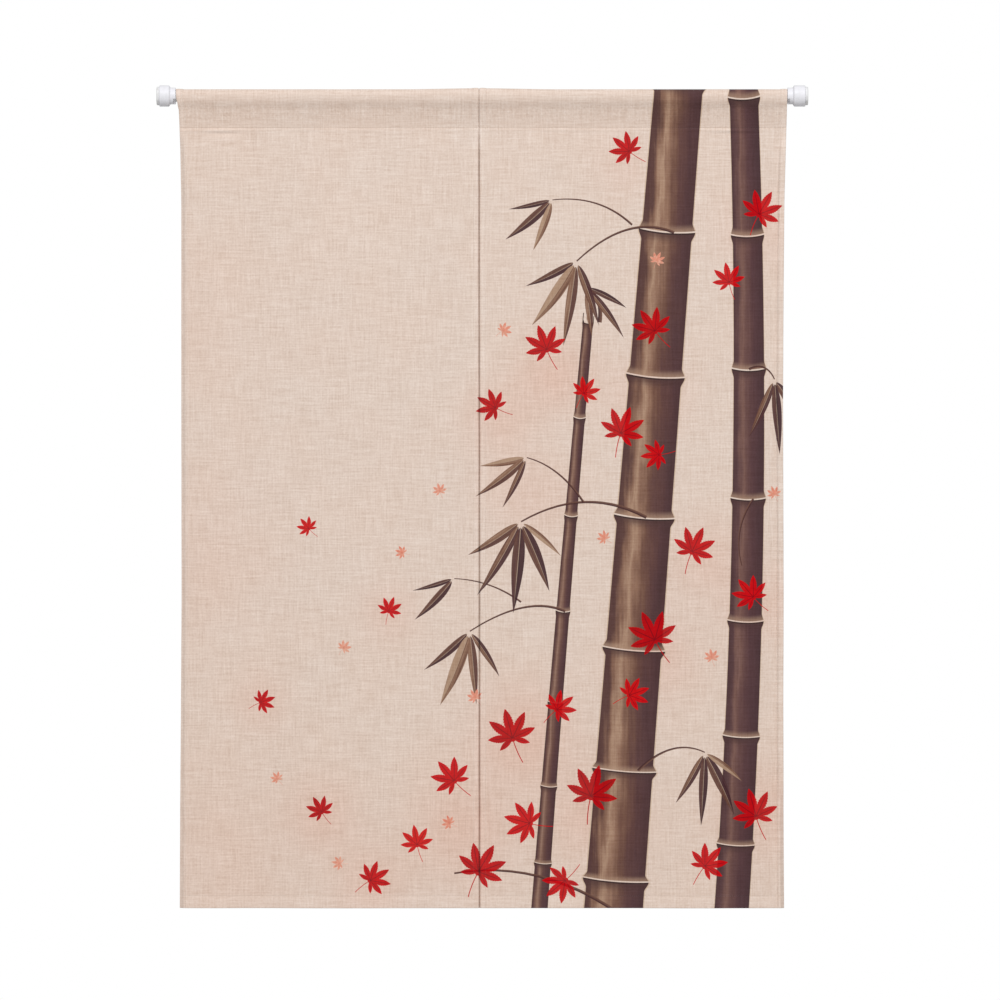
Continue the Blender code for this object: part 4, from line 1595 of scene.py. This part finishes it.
def seam_lines(surfaces):
    """The lines that are sewn on one panel, each as points, ways off the cloth and places on the flat
    cloth: both side hems, the bottom hem and the pocket's two seams in front, and the hems again behind,
    below the seam."""
    seam, back_seam = surfaces.seam, surfaces.back_seam
    last = surfaces.printed.shape[1] - 1
    column = int(np.argmin(np.abs(hem_places(SIDE_ROUND, SIDE_STITCH, SIDE_HEM) - SIDE_STITCH)))
    row = int(np.argmin(np.abs(hem_places(EDGE_ROUND, BOTTOM_STITCH, BOTTOM_HEM) - BOTTOM_STITCH)))
    whole, below, across = slice(3, -3), slice(3, seam - 2), slice(2, -2)
    foot = (row, slice(column, -column))
    printed = [(whole, column), (whole, last - column), foot, (seam, across), (back_seam, across)]
    plain = [(below, column), (below, last - column), foot]
    normals = surfaces.normals
    lines = [(surfaces.printed[place], normals[place], surfaces.flat[place]) for place in printed]
    return lines + [(surfaces.plain[place], -normals[place], surfaces.turned[place]) for place in plain]


def join_line(surfaces):
    """The stitches behind that join the panels: places, slanting ways across, ways back and flat places."""
    height = np.arange(*JOIN_RANGE, JOIN_PITCH)
    edge = surfaces.plain[: surfaces.seam, JOIN_COLUMN]
    depth = np.interp(height, edge[:, 2], edge[:, 1])
    place = np.stack([edge_place(height, LEFT_SLIT), depth, height], axis=1)
    ways = ((1.0, 0.0, JOIN_SLANT), (0.0, 1.0, 0.0))
    ahead, off = (np.tile(way, (len(height), 1)) for way in ways)
    return place, ahead, off, place[:, [0, 2]]


thread = thread_material()
for side, (panel, surfaces, flat_size) in panels.items():
    runs = [along_line(*line, STITCH_PITCH) for line in seam_lines(surfaces)]
    lengths = [STITCH_LENGTH] * len(runs)
    if side == "left":
        runs.append(join_line(surfaces))
        lengths.append(JOIN_LENGTH)
    stitches = np.concatenate([stitch_points(*run[:3], length) for run, length in zip(runs, lengths)])
    flat = np.concatenate([run[3] for run in runs])
    sewing = add_piece("stitching_" + side, stitches, stitch_faces(len(stitches)))
    store_print(sewing.data, flat[:, None], "POINT", stitches.shape[1])
    sewing.data.materials.append(thread)


# The studio: soft daylight from above the front, a little brighter at the top of the cloth, white all
# round, and a pale floor at the foot of the doorway, out of the camera's view.
EYE = (0.4823, -12.0, -0.5676)
LENS, SENSOR, FARTHEST = 307.5, 36.0, 50.0
FLOOR_HEIGHT = -2.0
FLOOR_FRONT, FLOOR_BACK, FLOOR_SIDE = -3.2, 2.2, 3.2
FLOOR_COLOUR = (0.74, 0.74, 0.73)
FLOOR_MOTTLE = tuple(0.97 * part for part in FLOOR_COLOUR)
MOTTLE_SCALE = 3.0
SKY_LIGHT = 0.405
KEY_PLACE, KEY_AIM = (0.60, -6.93, 5.16), (0.46, 0.0, -0.5)
KEY_SIZE, KEY_POWER = 4.4, 560.0


def aimed_at(place, aim):
    """The turn that points an object's -Z axis from its place to its aim."""
    return (Vector(aim) - Vector(place)).to_track_quat("-Z", "Y").to_euler()


def add_floor():
    """A pale floor with faint mottling."""
    left, right = -FLOOR_SIDE, SPAN + FLOOR_SIDE
    outline_places = ((left, FLOOR_FRONT), (right, FLOOR_FRONT), (right, FLOOR_BACK), (left, FLOOR_BACK))
    corners = [(across, back, FLOOR_HEIGHT) for across, back in outline_places]
    mesh = bpy.data.meshes.new("floor")
    mesh.from_pydata(corners, [], [(0, 1, 2, 3)])
    floor = bpy.data.objects.new("floor", mesh)
    bpy.context.scene.collection.objects.link(floor)
    material, tree, shader = start_material("floor")
    mottle = noise(tree, add_node(tree, "TexCoord").outputs["Object"], MOTTLE_SCALE)
    fill_inputs(tree, shader, {
        "Base Color": mix(tree, mottle, FLOOR_COLOUR, FLOOR_MOTTLE),
        "Roughness": 0.8,
    })
    mesh.materials.append(material)


def light_studio():
    """A world that the camera sees as white and the cloth as softer light, and one large lamp above."""
    world = bpy.data.worlds.new("studio")
    world.use_nodes = True
    tree = world.node_tree
    background = tree.nodes["Background"]
    background.inputs["Color"].default_value = (1.0, 1.0, 1.0, 1.0)
    seen = add_node(tree, "LightPath").outputs["Is Camera Ray"]
    tree.links.new(remap(tree, seen, 0.0, 1.0, SKY_LIGHT, 1.0), background.inputs["Strength"])
    bpy.context.scene.world = world

    lamp = bpy.data.lights.new("window", "AREA")
    lamp.shape = "DISK"
    lamp.size = KEY_SIZE
    lamp.energy = KEY_POWER
    window = bpy.data.objects.new("window", lamp)
    window.location = KEY_PLACE
    window.rotation_euler = aimed_at(KEY_PLACE, KEY_AIM)
    window.visible_camera = False
    bpy.context.scene.collection.objects.link(window)


def add_camera():
    """A long lens straight in front of the cloth, at the height of the photo's middle."""
    camera = bpy.data.objects.new("camera", bpy.data.cameras.new("camera"))
    camera.data.lens = LENS
    camera.data.sensor_width = SENSOR
    camera.data.clip_end = FARTHEST
    camera.location = EYE
    camera.rotation_euler = (math.pi / 2, 0.0, 0.0)
    bpy.context.scene.collection.objects.link(camera)
    bpy.context.scene.camera = camera


add_floor()
light_studio()
add_camera()
bpy.context.scene.view_settings.view_transform = "Standard"
